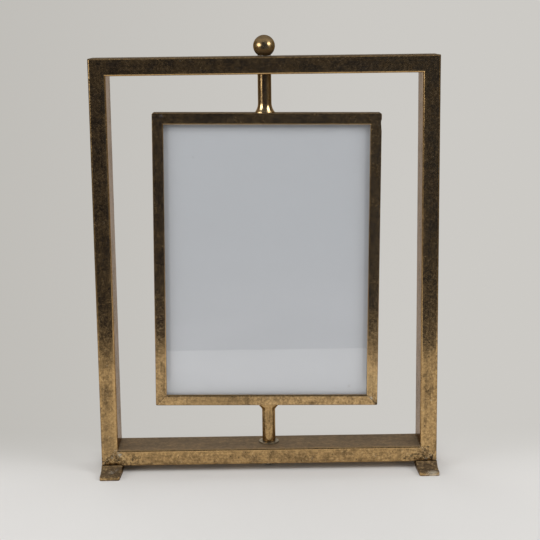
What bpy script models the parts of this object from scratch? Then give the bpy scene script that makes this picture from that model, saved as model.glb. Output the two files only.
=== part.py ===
"""Swivelling table photo frame in brass.

A stand of four mitred rectangular tubes on two flared feet carries a slim picture frame of
mitred channels. The picture frame turns about the upright axis through two short rods. A ball
finial on a stud holds the upper rod to the top rail, and a screw from below holds the lower one.

Metres, +Z up, the front faces -Y. The origin is on the ground under the swivel axis.
"""

from math import atan2, cos, pi, radians, sin, sqrt, tan

import bmesh
import bpy

# Clearances between pieces that touch on the real frame
SEAT_GAP = 0.0003
MITRE_GAP = 0.0003
RUNNING_GAP = 0.0003

# Stand: rectangular tube, seen from the front as its narrow face
BAR_FACE = 0.0127
BAR_DEPTH = 0.03175
BAR_WALL = 0.0016
BAR_EDGE_RADIUS = 0.0016
STAND_CORNER_RADIUS = 0.0008
SIDE_ROOM = 0.0303

# Feet: plates with a rebate for the stand, hollowed down to a lip in front and behind
FOOT_HEIGHT = 0.005
FOOT_WIDTH = 0.0157
FOOT_TOE_WIDTH = 0.0148
FOOT_REACH = 0.0172
FOOT_REBATE = 0.0014
FOOT_REBATE_WALL = 0.0010
FOOT_LIP_HEIGHT = 0.0027
FOOT_LIP_DEPTH = 0.0026
FOOT_CORNER_RADIUS = 0.0012
FOOT_EDGE_ROUND = 0.0003

# Picture frame: U channel round a glazed print
SIGHT_WIDTH = 0.1514
SIGHT_HEIGHT = 0.2041
PICTURE_BAR_FACE = 0.0083
PICTURE_BAR_WALL = 0.0018
PICTURE_EDGE_RADIUS = 0.0007
PICTURE_CORNER_RADIUS = 0.0015
HANG_LEAN = radians(0.75)

# What the channel holds, from front to back and back to front
GLASS_THICKNESS = 0.0025
SHEET_THICKNESS = 0.0004
BOARD_THICKNESS = 0.0028
PANE_PLAY = 0.0020

# Loading slot in the right-hand channel, and the nick at its upper end
SLOT_PLAY = 0.0004
SLOT_END_ROOM = 0.0005
NICK_RADIUS = 0.0032
NICK_DEPTH = 0.0009
NICK_DROP = 0.0076

# Rods between the picture frame and the rails
ROD_DIAMETER = 0.0100
UPPER_ROD_LENGTH = 0.0280
LOWER_ROD_LENGTH = 0.0290
UPPER_FLARE_RADIUS = 0.0066
UPPER_FLARE_HEIGHT = 0.0056
LOWER_FLARE_RADIUS = 0.0060
LOWER_FLARE_HEIGHT = 0.0020
ROD_END_CHAMFER = 0.0004
TENON_DIAMETER = 0.0050

# Finial and its stud
BALL_DIAMETER = 0.0159
BALL_SEAT_DIAMETER = 0.0090
STUD_DIAMETER = 0.0060
STUD_IN_BALL = 0.0090
STUD_IN_ROD = 0.0120

# Lower pivot
SCREW_DIAMETER = 0.0050
SCREW_IN_ROD = 0.0120
SCREW_HEAD_DIAMETER = 0.0095
SCREW_HEAD_HEIGHT = 0.0024
SCREW_HEAD_ROUND = 0.0010
SCREW_SLOT_WIDTH = 0.0012
SCREW_SLOT_DEPTH = 0.0011
SCREW_WASHER_DIAMETER = 0.0115
SCREW_WASHER_THICKNESS = 0.0010
THRUST_WASHER_DIAMETER = 0.0153
THRUST_WASHER_THICKNESS = 0.0013
SLEEVE_WALL = 0.0022

# Facets of round work
ROUND_STEPS = 40
SPHERE_STEPS = 18
CORNER_STEPS = 4
MITRE_STEPS = 2
CURVE_STEPS = 8

# Sizes that follow from the ones above
GROOVE_WIDTH = 2 * GLASS_THICKNESS + 2 * SHEET_THICKNESS + BOARD_THICKNESS + 6 * SEAT_GAP
GROOVE_DEPTH = PICTURE_BAR_FACE - PICTURE_BAR_WALL
PICTURE_BAR_DEPTH = GROOVE_WIDTH + 2 * PICTURE_BAR_WALL
PICTURE_WIDTH = SIGHT_WIDTH + 2 * PICTURE_BAR_FACE
PICTURE_HEIGHT = SIGHT_HEIGHT + 2 * PICTURE_BAR_FACE
PANE_WIDTH = SIGHT_WIDTH + 2 * (GROOVE_DEPTH - PANE_PLAY)
PANE_HEIGHT = SIGHT_HEIGHT + 2 * (GROOVE_DEPTH - PANE_PLAY)
PANE_SINK = PANE_PLAY - SEAT_GAP
SLOT_WIDTH = BOARD_THICKNESS + 2 * SHEET_THICKNESS + 2 * SEAT_GAP + 2 * SLOT_PLAY
MITRE_CUT = MITRE_GAP / sqrt(2)

ROD_RADIUS = ROD_DIAMETER / 2
UPPER_ROD_SEAT = SEAT_GAP + UPPER_FLARE_RADIUS * tan(HANG_LEAN)
LOWER_ROD_SEAT = SEAT_GAP + LOWER_FLARE_RADIUS * tan(HANG_LEAN)
RAIL_TOP = FOOT_HEIGHT + BAR_FACE
WASHER_BASE = RAIL_TOP + SEAT_GAP
LOWER_ROD_BASE = WASHER_BASE + THRUST_WASHER_THICKNESS + SEAT_GAP
PICTURE_BASE = LOWER_ROD_BASE + LOWER_ROD_LENGTH + LOWER_ROD_SEAT
PICTURE_CENTRE = PICTURE_BASE + PICTURE_HEIGHT / 2
UPPER_ROD_BASE = PICTURE_BASE + PICTURE_HEIGHT + UPPER_ROD_SEAT
UPPER_ROD_TOP = UPPER_ROD_BASE + UPPER_ROD_LENGTH
TOP_RAIL_BASE = UPPER_ROD_TOP + SEAT_GAP
FRAME_TOP = TOP_RAIL_BASE + BAR_FACE
FRAME_HEIGHT = FRAME_TOP - FOOT_HEIGHT
FRAME_WIDTH = PICTURE_WIDTH + 2 * SIDE_ROOM + 2 * BAR_FACE
FRAME_CENTRE = FOOT_HEIGHT + FRAME_HEIGHT / 2
BALL_BASE = FRAME_TOP + SEAT_GAP
FOOT_TOE = BAR_DEPTH / 2 + FOOT_REACH


def clear_scene():
    """Remove every object of the start file."""
    for item in list(bpy.data.objects):
        bpy.data.objects.remove(item, do_unlink=True)


def finish(name, colour, roughness, metallic=0.0, transmission=0.0):
    """A plain Principled finish."""
    material = bpy.data.materials.new(name)
    material.use_nodes = True
    shader = material.node_tree.nodes["Principled BSDF"]
    shader.inputs["Base Color"].default_value = (*colour, 1.0)
    shader.inputs["Roughness"].default_value = roughness
    shader.inputs["Metallic"].default_value = metallic
    shader.inputs["Transmission Weight"].default_value = transmission
    return material


def empty(name, height, lean=0.0, parent=None):
    """An empty on the swivel axis, turned about Y by the lean."""
    item = bpy.data.objects.new(name, None)
    item.location = (0.0, 0.0, height)
    item.rotation_euler = (0.0, lean, 0.0)
    item.parent = parent
    bpy.context.collection.objects.link(item)
    return item


def piece(name, bm, material=None, parent=None, place=(0.0, 0.0, 0.0), turn=0.0, smooth=False):
    """Turn a bmesh into a named object, turned about Y and set at its place."""
    bmesh.ops.recalc_face_normals(bm, faces=bm.faces)
    mesh = bpy.data.meshes.new(name)
    bm.to_mesh(mesh)
    bm.free()
    if smooth:
        mesh.shade_smooth()
        mesh.set_sharp_from_angle(angle=radians(32.0))
    if material is not None:
        mesh.materials.append(material)
    item = bpy.data.objects.new(name, mesh)
    item.location = place
    item.rotation_euler = (0.0, turn, 0.0)
    item.parent = parent
    bpy.context.collection.objects.link(item)
    return item


def cut(item, cutter):
    """Take a cutter's shape out of a piece."""
    cutter.hide_render = True
    cutter.display_type = "WIRE"
    boolean = item.modifiers.new("cut_" + cutter.name, "BOOLEAN")
    boolean.operation = "DIFFERENCE"
    boolean.object = cutter


def box(size, centre=(0.0, 0.0, 0.0)):
    """A closed box."""
    bm = bmesh.new()
    bmesh.ops.create_cube(bm, size=1.0)
    bmesh.ops.scale(bm, vec=size, verts=bm.verts)
    bmesh.ops.translate(bm, vec=centre, verts=bm.verts)
    return bm


def turned(profile, closed=False):
    """Spin a profile of (radius, height) points about Z.

    An open profile starts and ends on the axis, and a closed one is a ring's section.
    """
    bm = bmesh.new()
    verts = [bm.verts.new((radius, 0.0, height)) for radius, height in profile]
    pairs = list(zip(verts, verts[1:]))
    if closed:
        pairs.append((verts[-1], verts[0]))
    edges = [bm.edges.new(pair) for pair in pairs]
    bmesh.ops.spin(bm, geom=verts + edges, cent=(0.0, 0.0, 0.0), axis=(0.0, 0.0, 1.0),
                   angle=2 * pi, steps=ROUND_STEPS, use_merge=True)
    bmesh.ops.remove_doubles(bm, verts=bm.verts, dist=0.000001)
    return bm


def rod_cutter(name, radius, low, high):
    """A round cutter on the swivel axis between two heights."""
    bm = turned([(0.0, low), (radius, low), (radius, high), (0.0, high)])
    return piece(name, bm)


def ring(outer, inner, low, high):
    """Section of a washer or a sleeve."""
    return [(inner, low), (outer, low), (outer, high), (inner, high)]


def rounded_section(depth, height, radius, inset=0.0):
    """A rounded rectangle as (depth, inset) points, centred in depth, from inset downwards."""
    points = []
    corners = [(1, 0, 0.0), (-1, 0, 90.0), (-1, 1, 180.0), (1, 1, 270.0)]
    for side, far, start in corners:
        centre_depth = side * (depth / 2 - radius)
        centre_inset = inset + (height - radius if far else radius)
        for step in range(CORNER_STEPS + 1):
            angle = radians(start + 90.0 * step / CORNER_STEPS)
            points.append((centre_depth + radius * cos(angle), centre_inset - radius * sin(angle)))
    return points


def tube_section():
    """Outline and bore of the stand's rectangular tube."""
    outline = rounded_section(BAR_DEPTH, BAR_FACE, BAR_EDGE_RADIUS)
    bore_radius = max(BAR_EDGE_RADIUS - BAR_WALL / 2, BAR_WALL / 4)
    bore = rounded_section(BAR_DEPTH - 2 * BAR_WALL, BAR_FACE - 2 * BAR_WALL, bore_radius, BAR_WALL)
    return [outline, bore]


def channel_section():
    """Outline of the picture frame's U channel, its groove open towards the picture."""
    half = PICTURE_BAR_DEPTH / 2
    groove = GROOVE_WIDTH / 2
    outline = rounded_section(PICTURE_BAR_DEPTH, PICTURE_BAR_FACE, PICTURE_EDGE_RADIUS)
    back = 2 * (CORNER_STEPS + 1)
    lip_behind = [(-half, PICTURE_BAR_FACE), (-groove, PICTURE_BAR_FACE)]
    lip_front = [(groove, PICTURE_BAR_FACE), (half, PICTURE_BAR_FACE)]
    bottom = [(-groove, PICTURE_BAR_WALL), (groove, PICTURE_BAR_WALL)]
    return [outline[:back] + lip_behind + bottom + lip_front]


def mitred_ring(bm, outline, half_span, offset, side, radius, angle):
    """One loop of a bar near its mitre, where the outer corner rounds off at the given angle.

    The loop lies parallel to the mitre. At 45 degrees it is the mitre itself.
    """
    drop = radius * (1 - cos(angle))
    set_back = radius * (cos(angle) - sin(angle)) + MITRE_CUT
    verts = []
    for depth, inset in outline:
        level = max(inset, drop)
        verts.append(bm.verts.new((side * (half_span - level - set_back), depth, offset - level)))
    return verts


def strip(bm, first, second):
    """Quads between two loops of the same length."""
    for i in range(len(first)):
        j = (i + 1) % len(first)
        bm.faces.new((first[i], first[j], second[j], second[i]))


def mitred_bar(name, section, size, corner_radius, side_turn, material, parent, place):
    """A bar of the given section, with both ends cut at 45 degrees.

    The size is the length of its outer face and that face's distance from the frame's centre.
    The side turn brings the bar from the top of the frame to its own side.
    """
    span, offset = size
    bm = bmesh.new()
    angles = [pi / 4 * step / MITRE_STEPS for step in range(MITRE_STEPS + 1)]
    stations = [(-1, angle) for angle in reversed(angles)] + [(1, angle) for angle in angles]
    ends = []
    for outline in section:
        loops = [mitred_ring(bm, outline, span / 2, offset, side, corner_radius, angle)
                 for side, angle in stations]
        for first, second in zip(loops, loops[1:]):
            strip(bm, first, second)
        ends.append((loops[0], loops[-1]))
    if len(ends) == 1:
        bm.faces.new(ends[0][0])
        bm.faces.new(ends[0][1])
    else:
        strip(bm, ends[0][0], ends[1][0])
        strip(bm, ends[0][1], ends[1][1])
    return piece(name, bm, material, parent, place, side_turn, smooth=True)


def flare(rod_radius, flare_radius, height):
    """Hollow curve from a flared foot at height 0 up to the rod, as (radius, height) points."""
    points = []
    for step in range(CURVE_STEPS + 1):
        angle = pi / 2 * step / CURVE_STEPS
        points.append((rod_radius + (flare_radius - rod_radius) * (1 - sin(angle)),
                       height * (1 - cos(angle))))
    return points


def rod(name, length, flare_radius, flare_height, bore_radius, bore_depth, material, parent,
        base, upside_down):
    """A turned rod: tenon, flared foot, plain shank and a tapped bore in its far end."""
    tenon = TENON_DIAMETER / 2
    tenon_length = PICTURE_BAR_WALL + SEAT_GAP
    profile = [(0.0, -tenon_length), (tenon, -tenon_length), (tenon, 0.0)]
    profile += flare(ROD_RADIUS, flare_radius, flare_height)
    profile += [(ROD_RADIUS, length - ROD_END_CHAMFER), (ROD_RADIUS - ROD_END_CHAMFER, length)]
    profile += [(bore_radius, length), (bore_radius, length - bore_depth), (0.0, length - bore_depth)]
    bm = turned(profile)
    return piece(name, bm, material, parent, (0.0, 0.0, base), pi if upside_down else 0.0, True)


def build_stand(brass, patina):
    """The four mitred tubes, the feet, and the sleeves and washers of the pivots."""
    section = tube_section()
    centre = (0.0, 0.0, FRAME_CENTRE)
    level = (FRAME_WIDTH, FRAME_HEIGHT / 2)
    upright = (FRAME_HEIGHT, FRAME_WIDTH / 2)
    corner = STAND_CORNER_RADIUS
    top = mitred_bar("top_rail", section, level, corner, 0.0, brass, None, centre)
    bottom = mitred_bar("bottom_rail", section, level, corner, pi, brass, None, centre)
    mitred_bar("left_stile", section, upright, corner, -pi / 2, brass, None, centre)
    mitred_bar("right_stile", section, upright, corner, pi / 2, brass, None, centre)

    stud_hole = STUD_DIAMETER / 2 + RUNNING_GAP
    screw_hole = SCREW_DIAMETER / 2 + RUNNING_GAP
    cut(top, rod_cutter("stud_hole_cutter", stud_hole, TOP_RAIL_BASE - BAR_WALL, FRAME_TOP + BAR_WALL))
    cut(bottom, rod_cutter("screw_hole_cutter", screw_hole, FOOT_HEIGHT - BAR_WALL, RAIL_TOP + BAR_WALL))

    sleeve_low, sleeve_high = BAR_WALL + SEAT_GAP, BAR_FACE - BAR_WALL - SEAT_GAP
    upper = turned(ring(stud_hole + SLEEVE_WALL, stud_hole, sleeve_low, sleeve_high), closed=True)
    piece("upper_sleeve", upper, brass, None, (0.0, 0.0, TOP_RAIL_BASE), smooth=True)
    lower = turned(ring(screw_hole + SLEEVE_WALL, screw_hole, sleeve_low, sleeve_high), closed=True)
    piece("lower_sleeve", lower, brass, None, (0.0, 0.0, FOOT_HEIGHT), smooth=True)

    thrust = turned(ring(THRUST_WASHER_DIAMETER / 2, screw_hole, 0.0, THRUST_WASHER_THICKNESS), closed=True)
    piece("thrust_washer", thrust, patina, None, (0.0, 0.0, WASHER_BASE), smooth=True)
    under = turned(ring(SCREW_WASHER_DIAMETER / 2, screw_hole, 0.0, SCREW_WASHER_THICKNESS), closed=True)
    under_base = FOOT_HEIGHT - SEAT_GAP - SCREW_WASHER_THICKNESS
    piece("screw_washer", under, patina, None, (0.0, 0.0, under_base), smooth=True)

    for name, side in (("left_foot", -1), ("right_foot", 1)):
        build_foot(name, side, brass)


def foot_outline():
    """Side view of a foot as (depth, height) points.

    It is flat below. Above it has the rebate under the stand, and at each end a hollow sweep
    from the rebate's wall down to the lip.
    """
    seat_edge = BAR_DEPTH / 2 + SEAT_GAP
    crest = seat_edge + FOOT_REBATE_WALL
    run = FOOT_TOE - FOOT_LIP_DEPTH - crest
    drop = FOOT_HEIGHT + FOOT_REBATE - FOOT_LIP_HEIGHT
    behind = [(FOOT_TOE, 0.0), (FOOT_TOE, FOOT_LIP_HEIGHT)]
    for step in range(CURVE_STEPS, -1, -1):
        angle = pi / 2 * step / CURVE_STEPS
        behind.append((crest + run * (1 - cos(angle)), FOOT_LIP_HEIGHT + drop * (1 - sin(angle))))
    behind.append((seat_edge, FOOT_HEIGHT + FOOT_REBATE))
    behind.append((seat_edge, FOOT_HEIGHT - SEAT_GAP))
    front = [(-depth, height) for depth, height in reversed(behind)]
    return behind + front


def build_foot(name, side, material):
    """A foot under one stile, flush with its outer face and standing in past its inner one."""
    bm = bmesh.new()
    outer = side * FRAME_WIDTH / 2
    face = bm.faces.new([bm.verts.new((outer, depth, height)) for depth, height in foot_outline()])
    extruded = bmesh.ops.extrude_face_region(bm, geom=[face])
    moved = [item for item in extruded["geom"] if isinstance(item, bmesh.types.BMVert)]
    bmesh.ops.translate(bm, vec=(-side * FOOT_WIDTH, 0.0, 0.0), verts=moved)

    shoulder = BAR_DEPTH / 2 + SEAT_GAP
    for end in (-1, 1):
        everything = bm.verts[:] + bm.edges[:] + bm.faces[:]
        bmesh.ops.bisect_plane(bm, geom=everything, dist=0.00001, plane_co=(0.0, end * shoulder, 0.0),
                               plane_no=(0.0, 1.0, 0.0))
    for vert in bm.verts:
        past = max(0.0, abs(vert.co.y) - shoulder) / (FOOT_TOE - shoulder)
        if abs(vert.co.x) < FRAME_WIDTH / 2 - FOOT_WIDTH / 2:
            vert.co.x += side * past * (FOOT_WIDTH - FOOT_TOE_WIDTH)

    weights = bm.edges.layers.float.new("bevel_weight_edge")
    for edge in bm.edges:
        first, second = (vert.co for vert in edge.verts)
        at_toe = min(abs(first.y), abs(second.y)) > FOOT_TOE - 0.1 * FOOT_LIP_DEPTH
        if at_toe and abs(first.z - second.z) > FOOT_LIP_HEIGHT / 2:
            edge[weights] = 1.0
    foot = piece(name, bm, material, smooth=True)
    corners = foot.modifiers.new("toe_corners", "BEVEL")
    corners.width = FOOT_CORNER_RADIUS
    corners.segments = 3
    corners.limit_method = "WEIGHT"
    edges = foot.modifiers.new("worn_edges", "BEVEL")
    edges.width = FOOT_EDGE_ROUND
    edges.segments = 2
    edges.limit_method = "ANGLE"
    edges.angle_limit = radians(50.0)


def build_picture(brass, glass, paper, board, swivel):
    """The channels and the glazed print, all leaning a little on their rods."""
    picture = empty("picture_centre", PICTURE_CENTRE - RAIL_TOP, HANG_LEAN, swivel)
    section = channel_section()
    origin = (0.0, 0.0, 0.0)
    level = (PICTURE_WIDTH, PICTURE_HEIGHT / 2)
    upright = (PICTURE_HEIGHT, PICTURE_WIDTH / 2)
    sides = (("picture_top_bar", level, 0.0), ("picture_bottom_bar", level, pi),
             ("picture_left_bar", upright, -pi / 2), ("picture_right_bar", upright, pi / 2))
    bars = {name: mitred_bar(name, section, size, PICTURE_CORNER_RADIUS, turn, brass, picture, origin)
            for name, size, turn in sides}

    tenon_hole = TENON_DIAMETER / 2 + SEAT_GAP
    reach = 2 * PICTURE_BAR_WALL
    picture_top = PICTURE_BASE + PICTURE_HEIGHT
    cut(bars["picture_top_bar"],
        rod_cutter("top_tenon_cutter", tenon_hole, picture_top - reach, picture_top + reach))
    cut(bars["picture_bottom_bar"],
        rod_cutter("bottom_tenon_cutter", tenon_hole, PICTURE_BASE - reach, PICTURE_BASE + reach))

    right = bars["picture_right_bar"]
    cut(right, slot_cutter(picture))
    nick_axis = PICTURE_WIDTH / 2 - NICK_DEPTH + NICK_RADIUS
    nick_height = PICTURE_HEIGHT / 2 - NICK_DROP
    nick = turned([(0.0, -PICTURE_BAR_DEPTH), (NICK_RADIUS, -PICTURE_BAR_DEPTH),
                   (NICK_RADIUS, PICTURE_BAR_DEPTH), (0.0, PICTURE_BAR_DEPTH)])
    nick_cutter = piece("nick_cutter", nick, parent=picture, place=(nick_axis, 0.0, nick_height))
    nick_cutter.rotation_euler = (pi / 2, 0.0, 0.0)
    cut(right, nick_cutter)

    sheet_face = BOARD_THICKNESS / 2 + SEAT_GAP
    glass_face = sheet_face + SHEET_THICKNESS + SEAT_GAP
    layers = (("front_glass", GLASS_THICKNESS, -glass_face - GLASS_THICKNESS / 2, glass),
              ("front_sheet", SHEET_THICKNESS, -sheet_face - SHEET_THICKNESS / 2, paper),
              ("backing_board", BOARD_THICKNESS, 0.0, board),
              ("rear_sheet", SHEET_THICKNESS, sheet_face + SHEET_THICKNESS / 2, paper),
              ("rear_glass", GLASS_THICKNESS, glass_face + GLASS_THICKNESS / 2, glass))
    for name, thickness, depth, material in layers:
        pane = box((PANE_WIDTH, thickness, PANE_HEIGHT), (0.0, depth, -PANE_SINK))
        piece(name, pane, material, picture)


def slot_cutter(picture):
    """The loading slot: as long as a pane is high, with round ends, through the right-hand web."""
    bm = bmesh.new()
    length = PANE_HEIGHT + 2 * SLOT_END_ROOM
    radius = SLOT_WIDTH / 2
    outline = []
    for end, start in ((1, 0.0), (-1, 180.0)):
        for step in range(2 * CORNER_STEPS + 1):
            angle = radians(start + 180.0 * step / (2 * CORNER_STEPS))
            outline.append((radius * cos(angle), end * (length / 2 - radius) + radius * sin(angle)))
    near = PICTURE_WIDTH / 2 - 2 * PICTURE_BAR_WALL
    face = bm.faces.new([bm.verts.new((near, depth, height - PANE_SINK)) for depth, height in outline])
    extruded = bmesh.ops.extrude_face_region(bm, geom=[face])
    moved = [item for item in extruded["geom"] if isinstance(item, bmesh.types.BMVert)]
    bmesh.ops.translate(bm, vec=(3 * PICTURE_BAR_WALL, 0.0, 0.0), verts=moved)
    return piece("slot_cutter", bm, parent=picture)


def build_pivots(brass, steel, swivel):
    """The two rods, the ball finial on its stud and the screw under the stand."""
    stud_bore = STUD_DIAMETER / 2 + SEAT_GAP
    screw_bore = SCREW_DIAMETER / 2 + SEAT_GAP
    rod("upper_rod", UPPER_ROD_LENGTH, UPPER_FLARE_RADIUS, UPPER_FLARE_HEIGHT, stud_bore,
        STUD_IN_ROD + SEAT_GAP, brass, swivel, UPPER_ROD_BASE - RAIL_TOP, False)
    rod("lower_rod", LOWER_ROD_LENGTH, LOWER_FLARE_RADIUS, LOWER_FLARE_HEIGHT, screw_bore,
        SCREW_IN_ROD + SEAT_GAP, brass, swivel, LOWER_ROD_BASE + LOWER_ROD_LENGTH - RAIL_TOP, True)

    radius = BALL_DIAMETER / 2
    seat = BALL_SEAT_DIAMETER / 2
    rise = sqrt(radius ** 2 - seat ** 2)
    first = pi - atan2(seat, rise)
    profile = [(0.0, STUD_IN_BALL + SEAT_GAP), (stud_bore, STUD_IN_BALL + SEAT_GAP), (stud_bore, 0.0)]
    for step in range(SPHERE_STEPS):
        angle = first * (1 - step / SPHERE_STEPS)
        profile.append((radius * sin(angle), rise + radius * cos(angle)))
    profile.append((0.0, rise + radius))
    piece("ball_finial", turned(profile), brass, swivel, (0.0, 0.0, BALL_BASE - RAIL_TOP), smooth=True)

    stud = STUD_DIAMETER / 2
    low, high = UPPER_ROD_TOP - STUD_IN_ROD, BALL_BASE + STUD_IN_BALL
    shank = turned([(0.0, low), (stud, low), (stud, high), (0.0, high)])
    piece("finial_stud", shank, steel, swivel, (0.0, 0.0, -RAIL_TOP), smooth=True)

    build_screw(steel, swivel)


def build_screw(steel, swivel):
    """The slotted pan-head screw that holds the lower rod from under the bottom rail."""
    head_top = FOOT_HEIGHT - 2 * SEAT_GAP - SCREW_WASHER_THICKNESS
    head_bottom = head_top - SCREW_HEAD_HEIGHT
    head = SCREW_HEAD_DIAMETER / 2
    shank = SCREW_DIAMETER / 2
    tip = LOWER_ROD_BASE + SCREW_IN_ROD
    profile = [(0.0, head_bottom)]
    for step in range(CORNER_STEPS + 1):
        angle = pi / 2 * step / CORNER_STEPS
        profile.append((head - SCREW_HEAD_ROUND * (1 - sin(angle)),
                        head_bottom + SCREW_HEAD_ROUND * (1 - cos(angle))))
    profile += [(head, head_top), (shank, head_top), (shank, tip), (0.0, tip)]
    place = (0.0, 0.0, -RAIL_TOP)
    screw = piece("pivot_screw", turned(profile), steel, swivel, place, smooth=True)
    slot = box((SCREW_HEAD_DIAMETER * 2, SCREW_SLOT_WIDTH, 2 * SCREW_SLOT_DEPTH), (0.0, 0.0, head_bottom))
    cut(screw, piece("screw_slot_cutter", slot, parent=swivel, place=place))


def main():
    """Build the whole frame."""
    clear_scene()
    brass = finish("aged_brass", (0.42, 0.28, 0.13), 0.32, metallic=1.0)
    patina = finish("dark_patina", (0.10, 0.08, 0.055), 0.50, metallic=0.8)
    steel = finish("plain_steel", (0.45, 0.44, 0.42), 0.35, metallic=1.0)
    glass = finish("pane_glass", (0.92, 0.95, 0.95), 0.03, transmission=1.0)
    paper = finish("blank_paper", (0.43, 0.45, 0.47), 0.80)
    board = finish("grey_board", (0.30, 0.27, 0.22), 0.85)

    build_stand(brass, patina)
    swivel = empty("swivel_axis", RAIL_TOP)
    build_picture(brass, glass, paper, board, swivel)
    build_pivots(brass, steel, swivel)


main()
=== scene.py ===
"""Dressed model of a swivelling brass table photo frame.

A stand of soldered rectangular tube on two flared feet carries a slim glazed frame that turns on
two short rods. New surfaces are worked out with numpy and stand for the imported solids.
Sizes are in metres, +Z is up, and the picture faces -Y.
"""

import logging
from dataclasses import dataclass, field
from enum import Enum
from math import cos, pi, radians, sin, sqrt

import bpy
import numpy as np
from mathutils import Matrix, Vector


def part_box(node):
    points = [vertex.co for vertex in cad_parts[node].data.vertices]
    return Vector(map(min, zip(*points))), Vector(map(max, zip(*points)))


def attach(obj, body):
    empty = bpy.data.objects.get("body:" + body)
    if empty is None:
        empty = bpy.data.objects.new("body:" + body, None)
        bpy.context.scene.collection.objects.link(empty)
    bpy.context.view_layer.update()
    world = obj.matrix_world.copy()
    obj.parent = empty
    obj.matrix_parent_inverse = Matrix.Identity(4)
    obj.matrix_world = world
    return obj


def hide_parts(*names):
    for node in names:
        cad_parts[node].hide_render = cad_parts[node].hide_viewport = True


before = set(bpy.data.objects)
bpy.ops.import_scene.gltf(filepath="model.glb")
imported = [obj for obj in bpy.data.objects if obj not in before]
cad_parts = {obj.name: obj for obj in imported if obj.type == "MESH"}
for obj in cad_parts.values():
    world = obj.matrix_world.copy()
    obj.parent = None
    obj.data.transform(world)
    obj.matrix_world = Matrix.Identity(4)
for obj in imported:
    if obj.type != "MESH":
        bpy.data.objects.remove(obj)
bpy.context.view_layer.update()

log = logging.getLogger("photo_frame")
Colour = tuple[float, float, float]

# Facets round a turned piece, and height of the frame's middle above the table
FACETS = 96
MIDDLE = 0.16

# Tones of what lies on the metal and on the paper, and of the shade painted on them
DARK_GRAIN: Colour = (0.02, 0.015, 0.01)
PALE_GRAIN: Colour = (0.95, 0.74, 0.42)
SCRATCH: Colour = (0.62, 0.54, 0.40)
PIT: Colour = (0.045, 0.028, 0.016)
SPECK: Colour = (0.62, 0.50, 0.34)
DARK_SOLDER: Colour = (0.06, 0.045, 0.03)
PALE_SOLDER: Colour = (0.62, 0.59, 0.50)
MITRE_LINE: Colour = (0.05, 0.035, 0.02)
LOW_SHADE: Colour = (0.075, 0.045, 0.02)
DARK_SPATTER: Colour = (0.045, 0.036, 0.026)
GOLD_SPATTER: Colour = (0.78, 0.56, 0.28)
PAPER_SPECK: Colour = (0.20, 0.20, 0.20)
PAPER_RIM_SHADE: Colour = (0.16, 0.165, 0.17)


# Surfaces


def quarter(centre: tuple[float, float], radius: float, start: float, sweep: float, steps: int = 5
            ) -> np.ndarray:
    """Points on an arc: centre + radius * (cos a, sin a), a from start over sweep, in degrees."""
    angle = np.radians(start + sweep * np.linspace(0.0, 1.0, steps + 1))
    return np.stack([centre[0] + radius * np.cos(angle), centre[1] + radius * np.sin(angle)], axis=1)


def refined(outline: np.ndarray, spacing: float) -> np.ndarray:
    """A closed outline with its long straight runs divided, each by linear steps.

    Args:
        outline: Corner points in order, the last joined to the first.
        spacing: Longest step left on a straight run.

    Returns:
        The outline with more points.
    """
    ends = np.roll(outline, -1, axis=0)
    counts = np.maximum(1, np.ceil(np.linalg.norm(ends - outline, axis=1) / spacing)).astype(int)
    share = np.concatenate([np.arange(count) / count for count in counts])[:, None]
    return np.repeat(outline, counts, axis=0) * (1 - share) + np.repeat(ends, counts, axis=0) * share


def outward(outline: np.ndarray) -> np.ndarray:
    """Unit normals of a closed outline: the chord between neighbours turned by a quarter.

    Args:
        outline: Points that run with the solid on their left.

    Returns:
        One unit vector for each point.
    """
    chord = np.roll(outline, -1, axis=0) - np.roll(outline, 1, axis=0)
    normal = np.stack([chord[:, 1], -chord[:, 0]], axis=1)
    return normal / np.maximum(np.linalg.norm(normal, axis=1, keepdims=True), 1e-12)


def girth(outline: np.ndarray) -> np.ndarray:
    """Distance round a closed outline at each point, and the whole length at the end."""
    steps = np.linalg.norm(np.roll(outline, -1, axis=0) - outline, axis=1)
    return np.concatenate([[0.0], np.cumsum(steps)])


def ripple(along: np.ndarray, around: np.ndarray, seed: int) -> np.ndarray:
    """A slow unevenness from 0 to 1: the mean of six sine waves of unlike pitch and phase.

    Args:
        along: Distance along the piece.
        around: Distance round its profile.
        seed: Picks the phases.

    Returns:
        Values of the same shape as the two inputs together.
    """
    draw = np.random.default_rng(seed)
    total = np.zeros(np.broadcast(along, around).shape)
    for pitch in (0.110, 0.071, 0.047, 0.031, 0.023, 0.017):
        turn = draw.uniform(-0.6, 0.6)
        total += np.sin(2 * pi * (along + turn * around) / pitch + draw.uniform(0, 2 * pi))
    return 0.5 + total / 12.0


def leaned(x: np.ndarray, y: np.ndarray, z: np.ndarray, centre: float, lean: float) -> np.ndarray:
    """Points turned about Y and raised to a centre: (x cos l + z sin l, y, c - x sin l + z cos l)."""
    right, up = x * cos(lean) + z * sin(lean), centre - x * sin(lean) + z * cos(lean)
    return np.stack(np.broadcast_arrays(right, y, up), axis=-1)


def linked(name: str, data: bpy.types.ID) -> bpy.types.Object:
    """Put an object into the scene, at the origin.

    Args:
        name: Its name.
        data: Its mesh, lamp or camera.

    Returns:
        The object.
    """
    item = bpy.data.objects.new(name, data)
    bpy.context.scene.collection.objects.link(item)
    return item


# Node graphs


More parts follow.
